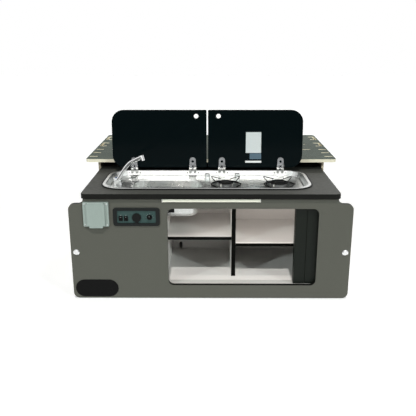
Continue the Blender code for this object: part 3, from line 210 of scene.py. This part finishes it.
def surface(name, colour, roughness, metallic=0.0, sockets=None):
    """A material with these values on its shader's own sockets."""
    made = bpy.data.materials.new(name)
    made.use_nodes = True
    shader = made.node_tree.nodes["Principled BSDF"]
    shader.inputs["Base Color"].default_value = (*colour, 1.0)
    shader.inputs["Roughness"].default_value = roughness
    shader.inputs["Metallic"].default_value = metallic
    for key, value in (sockets or {}).items():
        shader.inputs[key].default_value = value
    return made


def feed(mat, key, socket):
    """Links a socket to one of the shader's inputs."""
    mat.node_tree.links.new(socket, mat.node_tree.nodes["Principled BSDF"].inputs[key])


def place_of(mat, stretch=None):
    place = node(mat, "ShaderNodeTexCoord").outputs["Object"]
    if stretch is None:
        return place
    return node(mat, "ShaderNodeMapping", {"Vector": place, "Scale": stretch}).outputs["Vector"]


def grain(mat, scale, stretch=None, detail=3.0, rough=0.5):
    """A noise over the object's own metres."""
    inputs = {"Vector": place_of(mat, stretch), "Scale": scale, "Detail": detail, "Roughness": rough}
    return node(mat, "ShaderNodeTexNoise", inputs).outputs["Fac"]


def spread(mat, value, low, high, to_low=0.0, to_high=1.0):
    """A value's stretch from low to high, brought to another range."""
    inputs = {"Value": value, "From Min": low, "From Max": high, "To Min": to_low, "To Max": to_high}
    return node(mat, "ShaderNodeMapRange", inputs).outputs["Result"]


def calculate(mat, operation, first, second=0.0):
    return node(mat, "ShaderNodeMath", {0: first, 1: second}, operation=operation).outputs["Value"]


def mixed(mat, share, low, high):
    """A colour from low to high by a share. Each is a colour or a socket."""
    made = node(mat, "ShaderNodeMix", data_type="RGBA")
    links = mat.node_tree.links
    for index, value in ((0, share), (6, low), (7, high)):
        if isinstance(value, bpy.types.NodeSocket):
            links.new(value, made.inputs[index])
        elif index:
            made.inputs[index].default_value = (*value, 1.0)
        else:
            made.inputs[index].default_value = value
    return made.outputs[2]


def shade(colour, amount):
    return tuple(min(1.0, channel * amount) for channel in colour)


def relief(mat, height, strength, distance):
    """A bump from a height, on top of none."""
    inputs = {"Height": height, "Strength": strength, "Distance": distance}
    feed(mat, "Normal", node(mat, "ShaderNodeBump", inputs).outputs["Normal"])


def component(mat, vector, axis):
    return node(mat, "ShaderNodeSeparateXYZ", {"Vector": vector}).outputs["XYZ".index(axis)]


def across(mat, axis):
    """1 on the faces that look along this axis, either way, and 0 on the board's edges."""
    normal = node(mat, "ShaderNodeTexCoord").outputs["Normal"]
    size = calculate(mat, "ABSOLUTE", component(mat, normal, axis))
    return spread(mat, size, 0.75, 0.85)


def towards(mat, axis, sign):
    """1 on the faces that look along this axis in one direction."""
    normal = node(mat, "ShaderNodeTexCoord").outputs["Normal"]
    return spread(mat, calculate(mat, "MULTIPLY", component(mat, normal, axis), sign), 0.75, 0.85)


def plies(mat, axis, thickness, light, dark):
    """The cut edge of plywood: thin layers along the board's thickness, with a little waviness."""
    along = component(mat, place_of(mat), axis)
    wave = spread(mat, grain(mat, 9.0), 0, 1, -thickness * 0.12, thickness * 0.12)
    layer = calculate(mat, "FRACT", calculate(mat, "DIVIDE", calculate(mat, "ADD", along, wave), thickness))
    return mixed(mat, spread(mat, layer, 0.42, 0.58), dark, light)


def speckled(mat, colour, amount, scale=420.0):
    """A colour with a fine mottle."""
    share = spread(mat, grain(mat, scale, detail=2.0), 0.3, 0.7)
    return mixed(mat, share, shade(colour, 1 - amount), shade(colour, 1 + amount))


def make_laminate(name, axis, colour):
    """Fine-grained grey laminate with a black core at the board's edges."""
    made = surface(name, colour, 0.55, sockets={"Specular IOR Level": 0.15})
    face = speckled(made, colour, 0.05)
    feed(made, "Base Color", mixed(made, across(made, axis), (0.006, 0.006, 0.005), face))
    feed(made, "Roughness", spread(made, grain(made, 60.0), 0.3, 0.7, 0.48, 0.60))
    relief(made, grain(made, 900.0, detail=2.0), 0.06, 0.0004)
    return made


def make_board(name, lipped):
    """Pale melamine board. A lipped one has a dark front edge, and grey on its underside as painted shade.
    """
    colour = (0.85, 0.825, 0.80)
    made = surface(name, colour, 0.5, sockets={"Specular IOR Level": 0.25})
    face = speckled(made, colour, 0.012, 160.0)
    if lipped:
        lip = towards(made, "Y", -1.0)
        # Faces that look down are painted grey: painted shade under the shelves and divider, which also
        # darkens the light they bounce.
        face = mixed(made, towards(made, "Z", -1.0), face, (0.20, 0.21, 0.20))
        face = mixed(made, lip, face, (0.003, 0.003, 0.0025))
        feed(made, "Specular IOR Level", spread(made, lip, 0, 1, 0.25, 0.04))
    feed(made, "Base Color", face)
    relief(made, grain(made, 700.0), 0.04, 0.0003)
    return made


def make_plywood(name, axis):
    colour = (0.80, 0.70, 0.54)
    made = surface(name, colour, 0.55, sockets={"Specular IOR Level": 0.3})
    stretch = {"X": (1, 1, 7), "Y": (1, 1, 7), "Z": (1, 7, 1)}[axis]
    figure = spread(made, grain(made, 26.0, stretch, 5.0, 0.6), 0.3, 0.7)
    face = mixed(made, figure, shade(colour, 0.82), shade(colour, 1.08))
    edge = plies(made, axis, 0.0030, (0.88, 0.79, 0.62), (0.54, 0.42, 0.29))
    feed(made, "Base Color", mixed(made, across(made, axis), edge, face))
    relief(made, figure, 0.05, 0.0005)
    return made


def make_coated():
    """The deck's board: a speckled grey coating on both faces, bare layers at its edges and slots."""
    colour = (0.078, 0.095, 0.080)
    made = surface("deck_coating", colour, 0.7, sockets={"Specular IOR Level": 0.18})
    dots = spread(made, grain(made, 520.0, detail=1.0), 0.60, 0.66)
    patches = spread(made, grain(made, 45.0), 0.35, 0.65)
    ground = mixed(made, patches, shade(colour, 0.86), shade(colour, 1.14))
    face = mixed(made, dots, ground, shade(colour, 2.3))
    edge = plies(made, "Z", 0.0030, (0.93, 0.89, 0.73), (0.85, 0.78, 0.61))
    feed(made, "Base Color", mixed(made, across(made, "Z"), edge, face))
    relief(made, grain(made, 650.0), 0.15, 0.0005)
    return made


def make_steel():
    """Pressed stainless steel, brushed along its length."""
    made = surface("pressed_steel", (0.69, 0.70, 0.685), 0.29, 1.0)
    feed(made, "Base Color", mixed(made, grain(made, 5.0), (0.66, 0.67, 0.655), (0.72, 0.73, 0.715)))
    feed(made, "Roughness", spread(made, grain(made, 60.0, (1, 9, 1)), 0.3, 0.7, 0.26, 0.32))
    return made


def make_metal(name, colour, rough_low, rough_high, scale, stretch=None):
    """A bare metal whose roughness varies over it."""
    made = surface(name, colour, rough_low, 1.0)
    mottle = grain(made, scale, stretch)
    feed(made, "Base Color", mixed(made, mottle, shade(colour, 0.93), shade(colour, 1.05)))
    feed(made, "Roughness", spread(made, mottle, 0.3, 0.7, rough_low, rough_high))
    return made


def make_plastic(name, colour, roughness, texture=0.08, specular=0.4):
    """A moulding with a fine spark-eroded grain."""
    made = surface(name, colour, roughness, sockets={"Specular IOR Level": specular})
    feed(made, "Base Color", speckled(made, colour, 0.04, 300.0))
    feed(made, "Roughness", spread(made, grain(made, 90.0), 0.3, 0.7, roughness * 0.9, roughness * 1.1))
    relief(made, grain(made, 1600.0, detail=1.0), texture, 0.0003)
    return made


def make_panel():
    """The control panel's moulding: a dark bezel around a field of a lighter teal grey."""
    bezel, field = (0.008, 0.010, 0.010), (0.042, 0.080, 0.076)
    made = surface("control_panel", bezel, 0.42, sockets={"Specular IOR Level": 0.2})
    box_low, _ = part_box("control_panel")
    depth = component(made, place_of(made), "Y")
    inside = spread(made, depth, *(box_low.y + edge for edge in panel_bezel_edge))
    face = calculate(made, "MULTIPLY", inside, towards(made, "Y", -1.0))
    feed(made, "Base Color", mixed(made, face, bezel, speckled(made, field, 0.04, 300.0)))
    feed(made, "Roughness", spread(made, grain(made, 90.0), 0.3, 0.7, 0.38, 0.46))
    relief(made, grain(made, 1600.0, detail=1.0), 0.08, 0.0003)
    return made


def make_glass():
    colour = (0.0022, 0.0050, 0.0058)
    made = surface("black_glass", colour, 0.06, sockets={"Specular IOR Level": 0.03})
    feed(made, "Base Color", mixed(made, across(made, "Y"), (0.012, 0.030, 0.028), colour))
    feed(made, "Roughness", spread(made, grain(made, 14.0), 0.35, 0.65, 0.05, 0.10))
    return made


def make_slats():
    """The shutter's extruded slats: near-black green with a fine vertical drawing grain."""
    colour = (0.0060, 0.0085, 0.0060)
    made = surface("dark_shutter", colour, 0.42, sockets={"Specular IOR Level": 0.2})
    drawn = grain(made, 500.0, (1, 1, 0.02))
    feed(made, "Base Color", mixed(made, drawn, shade(colour, 0.8), shade(colour, 1.3)))
    relief(made, drawn, 0.08, 0.0003)
    return made


def make_diffuser():
    """The strip light's ribbed cream cover."""
    colour = (0.95, 0.94, 0.80)
    made = surface("lamp_cover", colour, 0.3)
    rib = calculate(made, "SINE", calculate(made, "MULTIPLY", component(made, place_of(made), "X"), 2600.0))
    feed(made, "Base Color", speckled(made, colour, 0.03, 120.0))
    relief(made, rib, 0.05, 0.0003)
    return made


materials = {
    "birch_ply": make_plywood("birch_ply", "X"),
    "coated_ply": make_coated(),
    "grey_laminate": make_laminate("grey_laminate", "Y", (0.115, 0.115, 0.098)),
    "pale_board": make_board("pale_board", False),
    "pressed_steel": make_steel(),
    "bright_chrome": make_metal("bright_chrome", (0.86, 0.87, 0.87), 0.05, 0.12, 30.0),
    "plain_alloy": make_metal("plain_alloy", (0.60, 0.61, 0.61), 0.30, 0.42, 220.0),
    "zinc_plated_steel": make_metal("zinc_plated_steel", (0.56, 0.58, 0.60), 0.28, 0.40, 90.0),
    "black_enamel": make_plastic("black_enamel", (0.004, 0.004, 0.004), 0.42, 0.03, 0.12),
    "black_glass": make_glass(),
    "black_plastic": make_plastic("black_plastic", (0.006, 0.007, 0.007), 0.45, 0.08, 0.15),
    "gloss_black_plastic": make_plastic("gloss_black_plastic", (0.0025, 0.0025, 0.0025), 0.3, 0.02, 0.12),
    "grey_plastic": make_plastic("grey_plastic", (0.35, 0.415, 0.385), 0.42),
    "dark_shutter": make_slats(),
    "pale_track": make_plastic("pale_track", (0.70, 0.68, 0.65), 0.45),
    "lamp_cover": make_diffuser(),
    "white_sheath": make_plastic("white_sheath", (0.80, 0.79, 0.74), 0.45),
}
lipped_board = make_board("lipped_board", True)
# Hinge leaves: chrome darkened as painted shade, for a dark reflection on them.
hinge_chrome_painted_shade = make_metal("hinge_chrome_painted_shade", (0.34, 0.35, 0.36), 0.12, 0.2, 30.0)
satin_knob = make_metal("satin_knob", (0.80, 0.81, 0.80), 0.34, 0.42, 30.0)
# Burner bodies and port rings: alloy darkened as painted shade on the burners' sides.
burner_alloy_painted_shade = make_metal("burner_alloy_painted_shade", (0.16, 0.16, 0.16), 0.40, 0.50, 220.0)
node_finishes = {
    "burner_left": burner_alloy_painted_shade,
    "burner_right": burner_alloy_painted_shade,
    "gas_knob_left": satin_knob,
    "gas_knob_right": satin_knob,
    "lid_hinge_left_outer": hinge_chrome_painted_shade,
    "lid_hinge_left_inner": hinge_chrome_painted_shade,
    "lid_hinge_right_outer": hinge_chrome_painted_shade,
    "lid_hinge_right_inner": hinge_chrome_painted_shade,
    # The worktop's laminate is a darker copy of the grey laminate: painted shade on its top.
    "worktop": make_laminate("worktop_laminate_painted_shade", "Z", (0.059, 0.060, 0.053)),
    "case_floor": make_plywood("birch_ply_floor", "Z"),
    "case_back": make_plywood("birch_ply_back", "Y"),
    "control_panel": make_panel(),
    "divider": lipped_board,
    "shelf_left": lipped_board,
    "shelf_right": lipped_board,
}
rubber = make_plastic("black_rubber", (0.006, 0.006, 0.006), 0.6, 0.1, 0.3)
pale_mark = make_plastic("pale_mark", (0.42, 0.46, 0.44), 0.5, 0.0)
papers = {
    "pale": make_plastic("pale_paper", (0.66, 0.70, 0.70), 0.5, 0.0, 0.2),
    "blue": make_plastic("blue_paper", (0.10, 0.155, 0.20), 0.5, 0.0, 0.2),
    "white": make_plastic("white_paper", (0.80, 0.81, 0.81), 0.5, 0.0, 0.2),
}
ceramic = make_plastic("white_ceramic", (0.78, 0.76, 0.70), 0.3, 0.0)
dark_screw = make_metal("dark_screw", (0.05, 0.05, 0.05), 0.35, 0.45, 90.0)
cold_mark = make_plastic("cold_mark", (0.02, 0.10, 0.35), 0.3, 0.0)
# Bright metal on the lids' glass edges: a painted highlight along the glass.
glass_edge_painted_highlight = surface("glass_edge_painted_highlight", (0.74, 0.80, 0.78), 0.16, 1.0)
# Bright chrome on the hinges' broken edges: a painted highlight.
painted_highlight_edge = surface("painted_highlight_edge", (0.95, 0.95, 0.94), 0.25, 1.0)


def dress(name, mat):
    """Gives a CAD node its finish, in place of the one it was packed with."""
    mesh = frame["nodes"][name].data
    mesh.materials.clear()
    mesh.materials.append(mat)


def edge_finish(name, mat, width):
    """Breaks a node's sharp edges, and gives the narrow faces there a finish of their own."""
    obj = frame["nodes"][name]
    obj.data.materials.append(mat)
    edge = obj.modifiers.new("broken_edges", "BEVEL")
    edge.width = width
    edge.segments = 2
    edge.limit_method = "ANGLE"
    edge.angle_limit = math.radians(50.0)
    edge.material = 1
    edge.harden_normals = True


def piece(name, data, mat, body, place=(0.0, 0.0, 0.0), turn=(0.0, 0.0, 0.0)):
    """A small fitting that moves with a CAD body."""
    data.materials.append(mat)
    obj = bpy.data.objects.new(name, data)
    bpy.context.scene.collection.objects.link(obj)
    obj.location = place
    obj.rotation_euler = turn
    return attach(obj, body)


def flat_shape(name, loops, thickness, bevel=0.0):
    """A plate from closed outlines: the first is its edge, and those inside it are holes."""
    data = bpy.data.curves.new(name, "CURVE")
    data.dimensions = "2D"
    data.fill_mode = "BOTH"
    data.extrude = thickness / 2 - bevel
    data.bevel_depth = bevel
    data.offset = -bevel
    data.bevel_resolution = 1
    for loop in loops:
        spline = data.splines.new("POLY")
        spline.points.add(len(loop) - 1)
        for point, (x, y) in zip(spline.points, loop):
            point.co = (x, y, 0.0, 1.0)
        spline.use_cyclic_u = True
    return data


def ring_of(radius, count=28, x=0.0, y=0.0):
    turns = [2 * math.pi * i / count for i in range(count)]
    return [(x + radius * math.cos(t), y + radius * math.sin(t)) for t in turns]


def round_corners(left, low, right, high, radius, steps=8):
    """A rectangle with round corners."""
    points = []
    corners = ((right, high, 0), (left, high, 1), (left, low, 2), (right, low, 3))
    for x, y, quarter in corners:
        centre_x = x - radius if quarter in (0, 3) else x + radius
        centre_y = y - radius if quarter in (0, 1) else y + radius
        for i in range(steps + 1):
            t = (quarter + i / steps) * math.pi / 2
            points.append((centre_x + radius * math.cos(t), centre_y + radius * math.sin(t)))
    return points


def square(left, low, right, high):
    return [(left, low), (right, low), (right, high), (left, high)]


def cross_shape(reach, width):
    """The outline of a cross, arm by arm."""
    arm = [(reach, -width), (reach, width), (width, width)]
    points = []
    for _ in range(4):
        points += arm
        arm = [(-y, x) for x, y in arm]
    return points


def turned_shape(name, profile, sides=36):
    """A solid of revolution about Z from (radius, height) points. Its shading follows the turned surface."""
    vertices, faces = [], []
    for radius, height in profile:
        for i in range(sides):
            t = 2 * math.pi * i / sides
            vertices.append((radius * math.cos(t), radius * math.sin(t), height))
    rows = len(profile)
    for row in range(rows):
        below = (row + 1) % rows
        for i in range(sides):
            j = (i + 1) % sides
            faces.append((row * sides + i, row * sides + j, below * sides + j, below * sides + i))
    mesh = bpy.data.meshes.new(name)
    mesh.from_pydata(vertices, [], faces)
    mesh.polygons.foreach_set("use_smooth", [True] * len(faces))
    mesh.validate()
    mesh.set_sharp_from_angle(angle=math.radians(40.0))
    return mesh


def add_screw(name, place, turn, body, radius=screw_radius, mat=None):
    """A screw with a cross recess: a ring of the head's metal over a lower disc that closes the recess."""
    finish = mat or materials["plain_alloy"]
    reach, width = radius * cross_reach_share, radius * cross_width_share / 2
    outline = ring_of(radius, 20)
    step = Matrix.Rotation(turn[0], 3, "X") @ Vector((0.0, 0.0, 1.0))
    base = Vector(place)
    head = flat_shape(name, [outline, cross_shape(reach, width)], screw_height, screw_height / 5)
    piece(name, head, finish, body, base + step * screw_height / 2, turn)
    floor = flat_shape(name + "_recess", [ring_of(radius * recess_floor_share, 20)], screw_height / 2)
    piece(name + "_recess", floor, finish, body, base + step * screw_height / 4, turn)


for part in frame["record"]["subparts"]:
    dress(part["node"], node_finishes.get(part["node"], materials[part["material_slot"]]))


def finish_edges():
    for side in ("left", "right"):
        # The lids' glass edges get a bright metal finish: a painted highlight.
        edge_finish(f"lid_glass_{side}", glass_edge_painted_highlight, lid_bevel)
        # The hinges' bright edges are a painted highlight.
        for place in ("outer", "inner"):
            edge_finish(f"lid_hinge_{side}_{place}", painted_highlight_edge, hinge_bevel)
    lead = frame["nodes"]["wiring_lead"].modifiers.new("round_lead", "SUBSURF")
    lead.levels = lead.render_levels = 1


def on_lid(pivot, x, y, z):
    """A point given in a lid's own frame, in the row frame, with the lid open as in the photograph."""
    return Vector(pivot) + Matrix.Rotation(-lid_lean, 3, "X") @ Vector((x, y, z))


def lid_pivot(side):
    """A point on the lid's hinge axis, at the lid's inner edge."""
    barrel_low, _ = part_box("lid_hinge_left_outer")
    low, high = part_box(f"lid_glass_{side}")
    inner = high.x if side == "left" else low.x
    return (inner, barrel_low.y + hinge_pin_setback, barrel_low.z + hinge_pin_rise)


def dress_lids():
    """Grommets in the finger holes, and blank sheets of a sticker on the right lid."""
    face = lid_glass / 2 + film_gap
    flange = lid_glass / 2 + grommet_proud
    waist = grommet_inner + grommet_wall
    crown = grommet_outer - grommet_round
    profile = [
        (grommet_inner, flange),
        (crown, flange),
        (grommet_outer, face),
        (waist, face),
        (waist, -face),
        (grommet_outer, -face),
        (crown, -flange),
        (grommet_inner, -flange),
    ]
    upright = (FRONT - lid_lean, 0, 0)
    for side, sign in (("left", -1), ("right", 1)):
        shape = turned_shape(f"finger_grommet_{side}", profile)
        place = on_lid(lid_pivot(side), sign * finger_hole[0], 0.0, finger_hole[1])
        piece(f"finger_grommet_{side}", shape, rubber, f"{side}_lid", place, upright)
    for kind, (left, low, right, high) in blank_sheets.items():
        outline = round_corners(0, 0, right - left, high - low, sheet_corner, 4)
        sheet = flat_shape(f"blank_sheet_{kind}", [outline], sheet_thickness)
        place = on_lid(lid_pivot("right"), left, -face, low)
        piece(f"blank_sheet_{kind}", sheet, papers[kind], "right_lid", place, upright)


def grown(low, high, margin):
    """A box's outline in plan, pushed out by a margin."""
    return low.x - margin, low.y - margin, high.x + margin, high.y + margin


def dress_tray():
    """The sealing ring under the rim, and the rim clips."""
    low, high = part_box("hob_sink_tray")
    worktop_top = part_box("worktop")[1].z
    outer = round_corners(*grown(low, high, seal_width), rim_corner + seal_width, corner_steps)
    inner = round_corners(*grown(low, high, seal_lap), rim_corner, corner_steps)
    ring = flat_shape("tray_seal", [outer, inner], seal_top, soft_edge)
    piece("tray_seal", ring, rubber, "kitchen", (0, 0, worktop_top + seal_top / 2))
    top = worktop_top + rim_height + clip_lift
    plan = round_corners(-clip_reach, -clip_half_width, clip_reach, clip_half_width, clip_corner, 4)
    for side, x in clip_places.items():
        clip = flat_shape(f"rim_clip_{side}", [plan], clip_thickness, soft_edge)
        piece(f"rim_clip_{side}", clip, materials["plain_alloy"], "kitchen", (x, low.y + clip_setback, top))


def dress_hinges():
    """Screws on the pan's rear wall beside each hinge, and a dark bar at the left lid's feet."""
    plan = round_corners(-bar_reach, -bar_half_width, bar_reach, bar_half_width, bar_corner, 4)
    for side in ("left", "right"):
        for place in ("outer", "inner"):
            low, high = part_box(f"lid_hinge_{side}_{place}")
            middle = (low.x + high.x) / 2
            y, z = low.y + hinge_screw_setback, low.z - hinge_screw_drop
            for hand, sign in (("left", -1), ("right", 1)):
                name = f"hinge_screw_{side}_{place}_{hand}"
                spot = (middle + sign * hinge_screw_side, y, z)
                add_screw(name, spot, (pan_wall_turn, 0, 0), "kitchen", hinge_screw_radius, dark_screw)
            if side == "left":
                bar = flat_shape(f"hinge_bar_{place}", [plan], bar_thickness, soft_edge)
                spot = (middle, low.y - bar_advance, low.z - bar_drop)
                piece(f"hinge_bar_{place}", bar, rubber, "kitchen", spot)


def toothed_ring(radius):
    """A circle with a square tooth for each flame port."""
    teeth = []
    for i in range(port_count * tooth_points):
        t = 2 * math.pi * (i + 0.5) / (port_count * tooth_points)
        reach = radius + (tooth_proud if i % tooth_points < tooth_points / 2 else -tooth_dip)
        teeth.append((reach * math.cos(t), reach * math.sin(t)))
    return teeth


def dress_burners():
    """A toothed ring of flame ports round each burner's body, and an igniter beside it."""
    for side in ("left", "right"):
        low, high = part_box(f"burner_{side}")
        middle = (low + high) / 2
        radius = (high.x - low.x) / 2
        # The port ring takes the burners' darkened alloy: painted shade.
        loops = [toothed_ring(radius), ring_of(radius - port_ring_width, 40)]
        ring = flat_shape(f"port_ring_{side}", loops, port_ring_height, port_ring_bevel)
        spot = (middle.x, middle.y, high.z - port_ring_drop)
        piece(f"port_ring_{side}", ring, burner_alloy_painted_shade, "kitchen", spot)
        x = middle.x - (radius + igniter_gap) * math.sin(igniter_turn)
        y = middle.y - (radius + igniter_gap) * math.cos(igniter_turn)
        sleeve = turned_shape(f"igniter_sleeve_{side}", igniter_sleeve, 18)
        piece(f"igniter_sleeve_{side}", sleeve, ceramic, "kitchen", (x, y, low.z))
        pin = turned_shape(f"igniter_pin_{side}", igniter_pin, 12)
        piece(f"igniter_pin_{side}", pin, materials["plain_alloy"], "kitchen", (x, y, low.z))


def upright_piece(name, data, mat, body, x, y, z):
    """A flat piece stood up so that it faces the front."""
    return piece(name, data, mat, body, (x, y, z), (FRONT, 0, 0))


def add_plate(front):
    """The bare plate at the fascia's lower left, proud of its front."""
    left, low, right, high = blank_plate
    outline = round_corners(left, low, right, high, (high - low) / 2, 12)
    plate = flat_shape("bare_plate", [outline], blank_plate_thickness, blank_plate_bevel)
    middle = front - blank_plate_thickness / 2
    upright_piece("bare_plate", plate, materials["gloss_black_plastic"], "kitchen", 0, middle, 0)


def add_inlet_screws():
    """Four screws in the inlet's base, between its edges and the flap."""
    base_low, base_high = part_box("socket_base")
    flap_low, flap_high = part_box("socket_flap")
    columns = {"left": (base_low.x + flap_low.x) / 2, "right": (base_high.x + flap_high.x) / 2}
    rows = {"upper": base_high.z - inlet_screw_margin, "lower": base_low.z + inlet_screw_margin}
    for column, x in columns.items():
        for row, z in rows.items():
            add_screw(f"inlet_screw_{row}_{column}", (x, base_low.y, z), (FRONT, 0, 0), "kitchen")


def add_rocker_spot(index, x, key_low, key_high):
    """A small mark on the rocker itself, which moves with it."""
    reach, rise = rocker_spot
    spot = flat_shape(f"rocker_mark_{index}", [square(-reach, -rise, reach, rise)], raised_mark_thickness)
    y, z = key_low.y + rocker_spot_setback, key_high.z - rocker_spot_drop
    upright_piece(f"rocker_mark_{index}", spot, pale_mark, f"rocker_{index}", x, y, z)


def dial_mark(centre, turn):
    """One tick round the selector, along the radius at this angle."""
    along = Vector((math.cos(turn), math.sin(turn)))
    over = Vector((-math.sin(turn), math.cos(turn))) * dial_mark_half_width
    start, end = (along * radius for radius in dial_mark_radii)
    corners = (start - over, end - over, end + over, start + over)
    return [(centre.x + p.x, centre.z + p.y) for p in corners]


def add_panel_marks(field):
    """A bar over each rocker and ticks round the selector, all in one piece, and the selector's pointer."""
    marks = []
    for index in (1, 2):
        key_low, key_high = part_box(f"rocker_{index}")
        x = (key_low.x + key_high.x) / 2
        below, above = (key_high.z + height for height in rocker_bar_heights)
        marks.append(square(x - rocker_bar_reach, below, x + rocker_bar_reach, above))
        add_rocker_spot(index, x, key_low, key_high)
    dial_low, dial_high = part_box("selector")
    centre = (dial_low + dial_high) / 2
    for step in range(dial_mark_count):
        turn = math.radians(90 + (step - dial_mark_count // 2) * dial_mark_step)
        marks.append(dial_mark(centre, turn))
    shape = flat_shape("panel_marks", marks, mark_thickness)
    upright_piece("panel_marks", shape, pale_mark, "kitchen", 0, field - film_gap, 0)
    outline = square(-pointer_half_width, pointer_ends[0], pointer_half_width, pointer_ends[1])
    pointer = flat_shape("selector_pointer", [outline], raised_mark_thickness)
    y = dial_low.y + film_gap
    upright_piece("selector_pointer", pointer, pale_mark, "selector", centre.x, y, centre.z)


def add_panel_screws(low, high):
    """A dark screw near each corner of the control panel."""
    columns = {"left": low.x + panel_screw_side, "right": high.x - panel_screw_side}
    rows = {"upper": high.z - panel_screw_margin, "lower": low.z + panel_screw_margin}
    for side, x in columns.items():
        for row, z in rows.items():
            name = f"panel_screw_{row}_{side}"
            add_screw(name, (x, low.y, z), (FRONT, 0, 0), "kitchen", panel_screw_radius, rubber)


def add_strip_caps(front):
    """An end cap over each end of the strip light."""
    low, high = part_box("strip_light")
    places = {"left": low.x + strip_cap_inset, "right": high.x - strip_cap_inset}
    depth = front - low.y + strip_cap_cover
    middle = (front + low.y) / 2 - strip_cap_proud
    bottom, top = low.z - strip_cap_proud, high.z + strip_cap_proud
    outline = round_corners(-strip_cap_half_width, bottom, strip_cap_half_width, top, strip_cap_corner, 3)
    for side, x in places.items():
        cap = flat_shape(f"strip_cap_{side}", [outline], depth, soft_edge)
        upright_piece(f"strip_cap_{side}", cap, ceramic, "kitchen", x, middle, 0)


def dress_fascia():
    """Everything small on the front: plate, inlet screws, panel marks and screws, and strip light's caps."""
    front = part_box("fascia")[0].y
    panel_low, panel_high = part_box("control_panel")
    add_plate(front)
    add_inlet_screws()
    add_panel_marks(panel_low.y + panel_field_depth)
    add_panel_screws(panel_low, panel_high)
    add_strip_caps(front)


def dress_tap():
    """The ring that marks the cold tap."""
    low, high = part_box("tap_base")
    middle = (low + high) / 2
    band = turned_shape("tap_cold_ring", cold_ring, 32)
    piece("tap_cold_ring", band, cold_mark, "kitchen", (middle.x, middle.y, high.z - film_gap))


finish_edges()
dress_lids()
dress_tray()
dress_hinges()
dress_burners()
dress_fascia()
dress_tap()


def make_light(name, kind, strength, colour, place, away):
    """A light that shines against a direction."""
    data = bpy.data.lights.new(name, kind)
    data.energy = strength
    data.color = colour
    obj = bpy.data.objects.new(name, data)
    bpy.context.scene.collection.objects.link(obj)
    obj.location = place
    obj.rotation_euler = (-away).to_track_quat("-Z", "Y").to_euler()
    return data


def make_sun(name, turn, lift, strength, colour):
    """Far light from an angle round from the front and an angle up, both in degrees."""
    turn, lift = math.radians(turn), math.radians(lift)
    away = Vector((math.cos(lift) * math.sin(turn), -math.cos(lift) * math.cos(turn), math.sin(lift)))
    make_light(name, "SUN", strength, colour, away, away).angle = sun_width


def make_shelf_lamp():
    """A soft warm light under the worktop, which brightens the upper bays as in the photograph."""
    _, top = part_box("divider")
    left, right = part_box("shelf_left")[0].x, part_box("shelf_right")[1].x
    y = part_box("shutter_track_top")[1].y + shelf_lamp_depth
    place = ((left + right) / 2, y, top.z - shelf_lamp_depth / 2)
    away = Vector((0.0, -0.5, 1.0))
    data = make_light("under_worktop", "AREA", shelf_lamp_power, shelf_lamp_colour, place, away)
    data.shape = "RECTANGLE"
    data.size = right - left
    data.size_y = shelf_lamp_depth


def seen_directly(mat):
    """1 for what the camera, a mirror or a glass shows, and 0 for the light that reaches surfaces."""
    path = node(mat, "ShaderNodeLightPath")
    shiny = calculate(mat, "MAXIMUM", path.outputs["Is Glossy Ray"], path.outputs["Is Transmission Ray"])
    return calculate(mat, "MAXIMUM", path.outputs["Is Camera Ray"], shiny)


def make_world():
    world = bpy.data.worlds.new("studio")
    bpy.context.scene.world = world
    world.use_nodes = True
    background = world.node_tree.nodes["Background"]
    background.inputs["Color"].default_value = (1.0, 1.0, 1.0, 1.0)
    path = node(world, "ShaderNodeLightPath")
    toward = node(world, "ShaderNodeTexCoord").outputs["Generated"]
    behind = spread(world, component(world, toward, "Y"), -0.75, -0.05, mirror_low, mirror_high)
    above = spread(world, component(world, toward, "Z"), 0.35, 0.75, mirror_low, mirror_high)
    mirrored = calculate(world, "MAXIMUM", behind, above)
    shown = calculate(world, "MAXIMUM", path.outputs["Is Camera Ray"], path.outputs["Is Transmission Ray"])
    glossy = calculate(world, "MULTIPLY", path.outputs["Is Glossy Ray"], mirrored)
    diffuse = calculate(world, "MULTIPLY", path.outputs["Is Diffuse Ray"], world_strength)
    strength = calculate(world, "MAXIMUM", shown, calculate(world, "MAXIMUM", glossy, diffuse))
    world.node_tree.links.new(strength, background.inputs["Strength"])


def make_floor():
    corners = square(-floor_reach, -floor_reach, floor_reach, floor_reach)
    mesh = bpy.data.meshes.new("floor")
    mesh.from_pydata([(x, y, cad_box[0].z) for x, y in corners], [], [(0, 1, 2, 3)])
    mat = surface("pale_floor", (0.80, 0.80, 0.80), 0.9, sockets={"Specular IOR Level": 0.0})
    mat.node_tree.nodes["Principled BSDF"].inputs["Emission Color"].default_value = (1.0, 1.0, 1.0, 1.0)
    feed(mat, "Emission Strength", spread(mat, seen_directly(mat), 0, 1, 0.0, floor_glow))
    mesh.materials.append(mat)
    floor = bpy.data.objects.new("floor", mesh)
    bpy.context.scene.collection.objects.link(floor)


def make_camera():
    data = bpy.data.cameras.new("camera")
    data.lens = camera_lens
    data.sensor_width = camera_sensor
    obj = bpy.data.objects.new("camera", data)
    bpy.context.scene.collection.objects.link(obj)
    obj.location = camera_place
    obj.rotation_euler = (camera_tilt, camera_roll, camera_turn)
    bpy.context.scene.camera = obj


bpy.context.scene.view_settings.view_transform = "Standard"
make_world()
make_floor()
make_camera()
for sun_name, settings in suns.items():
    make_sun(sun_name, *settings)
make_shelf_lamp()
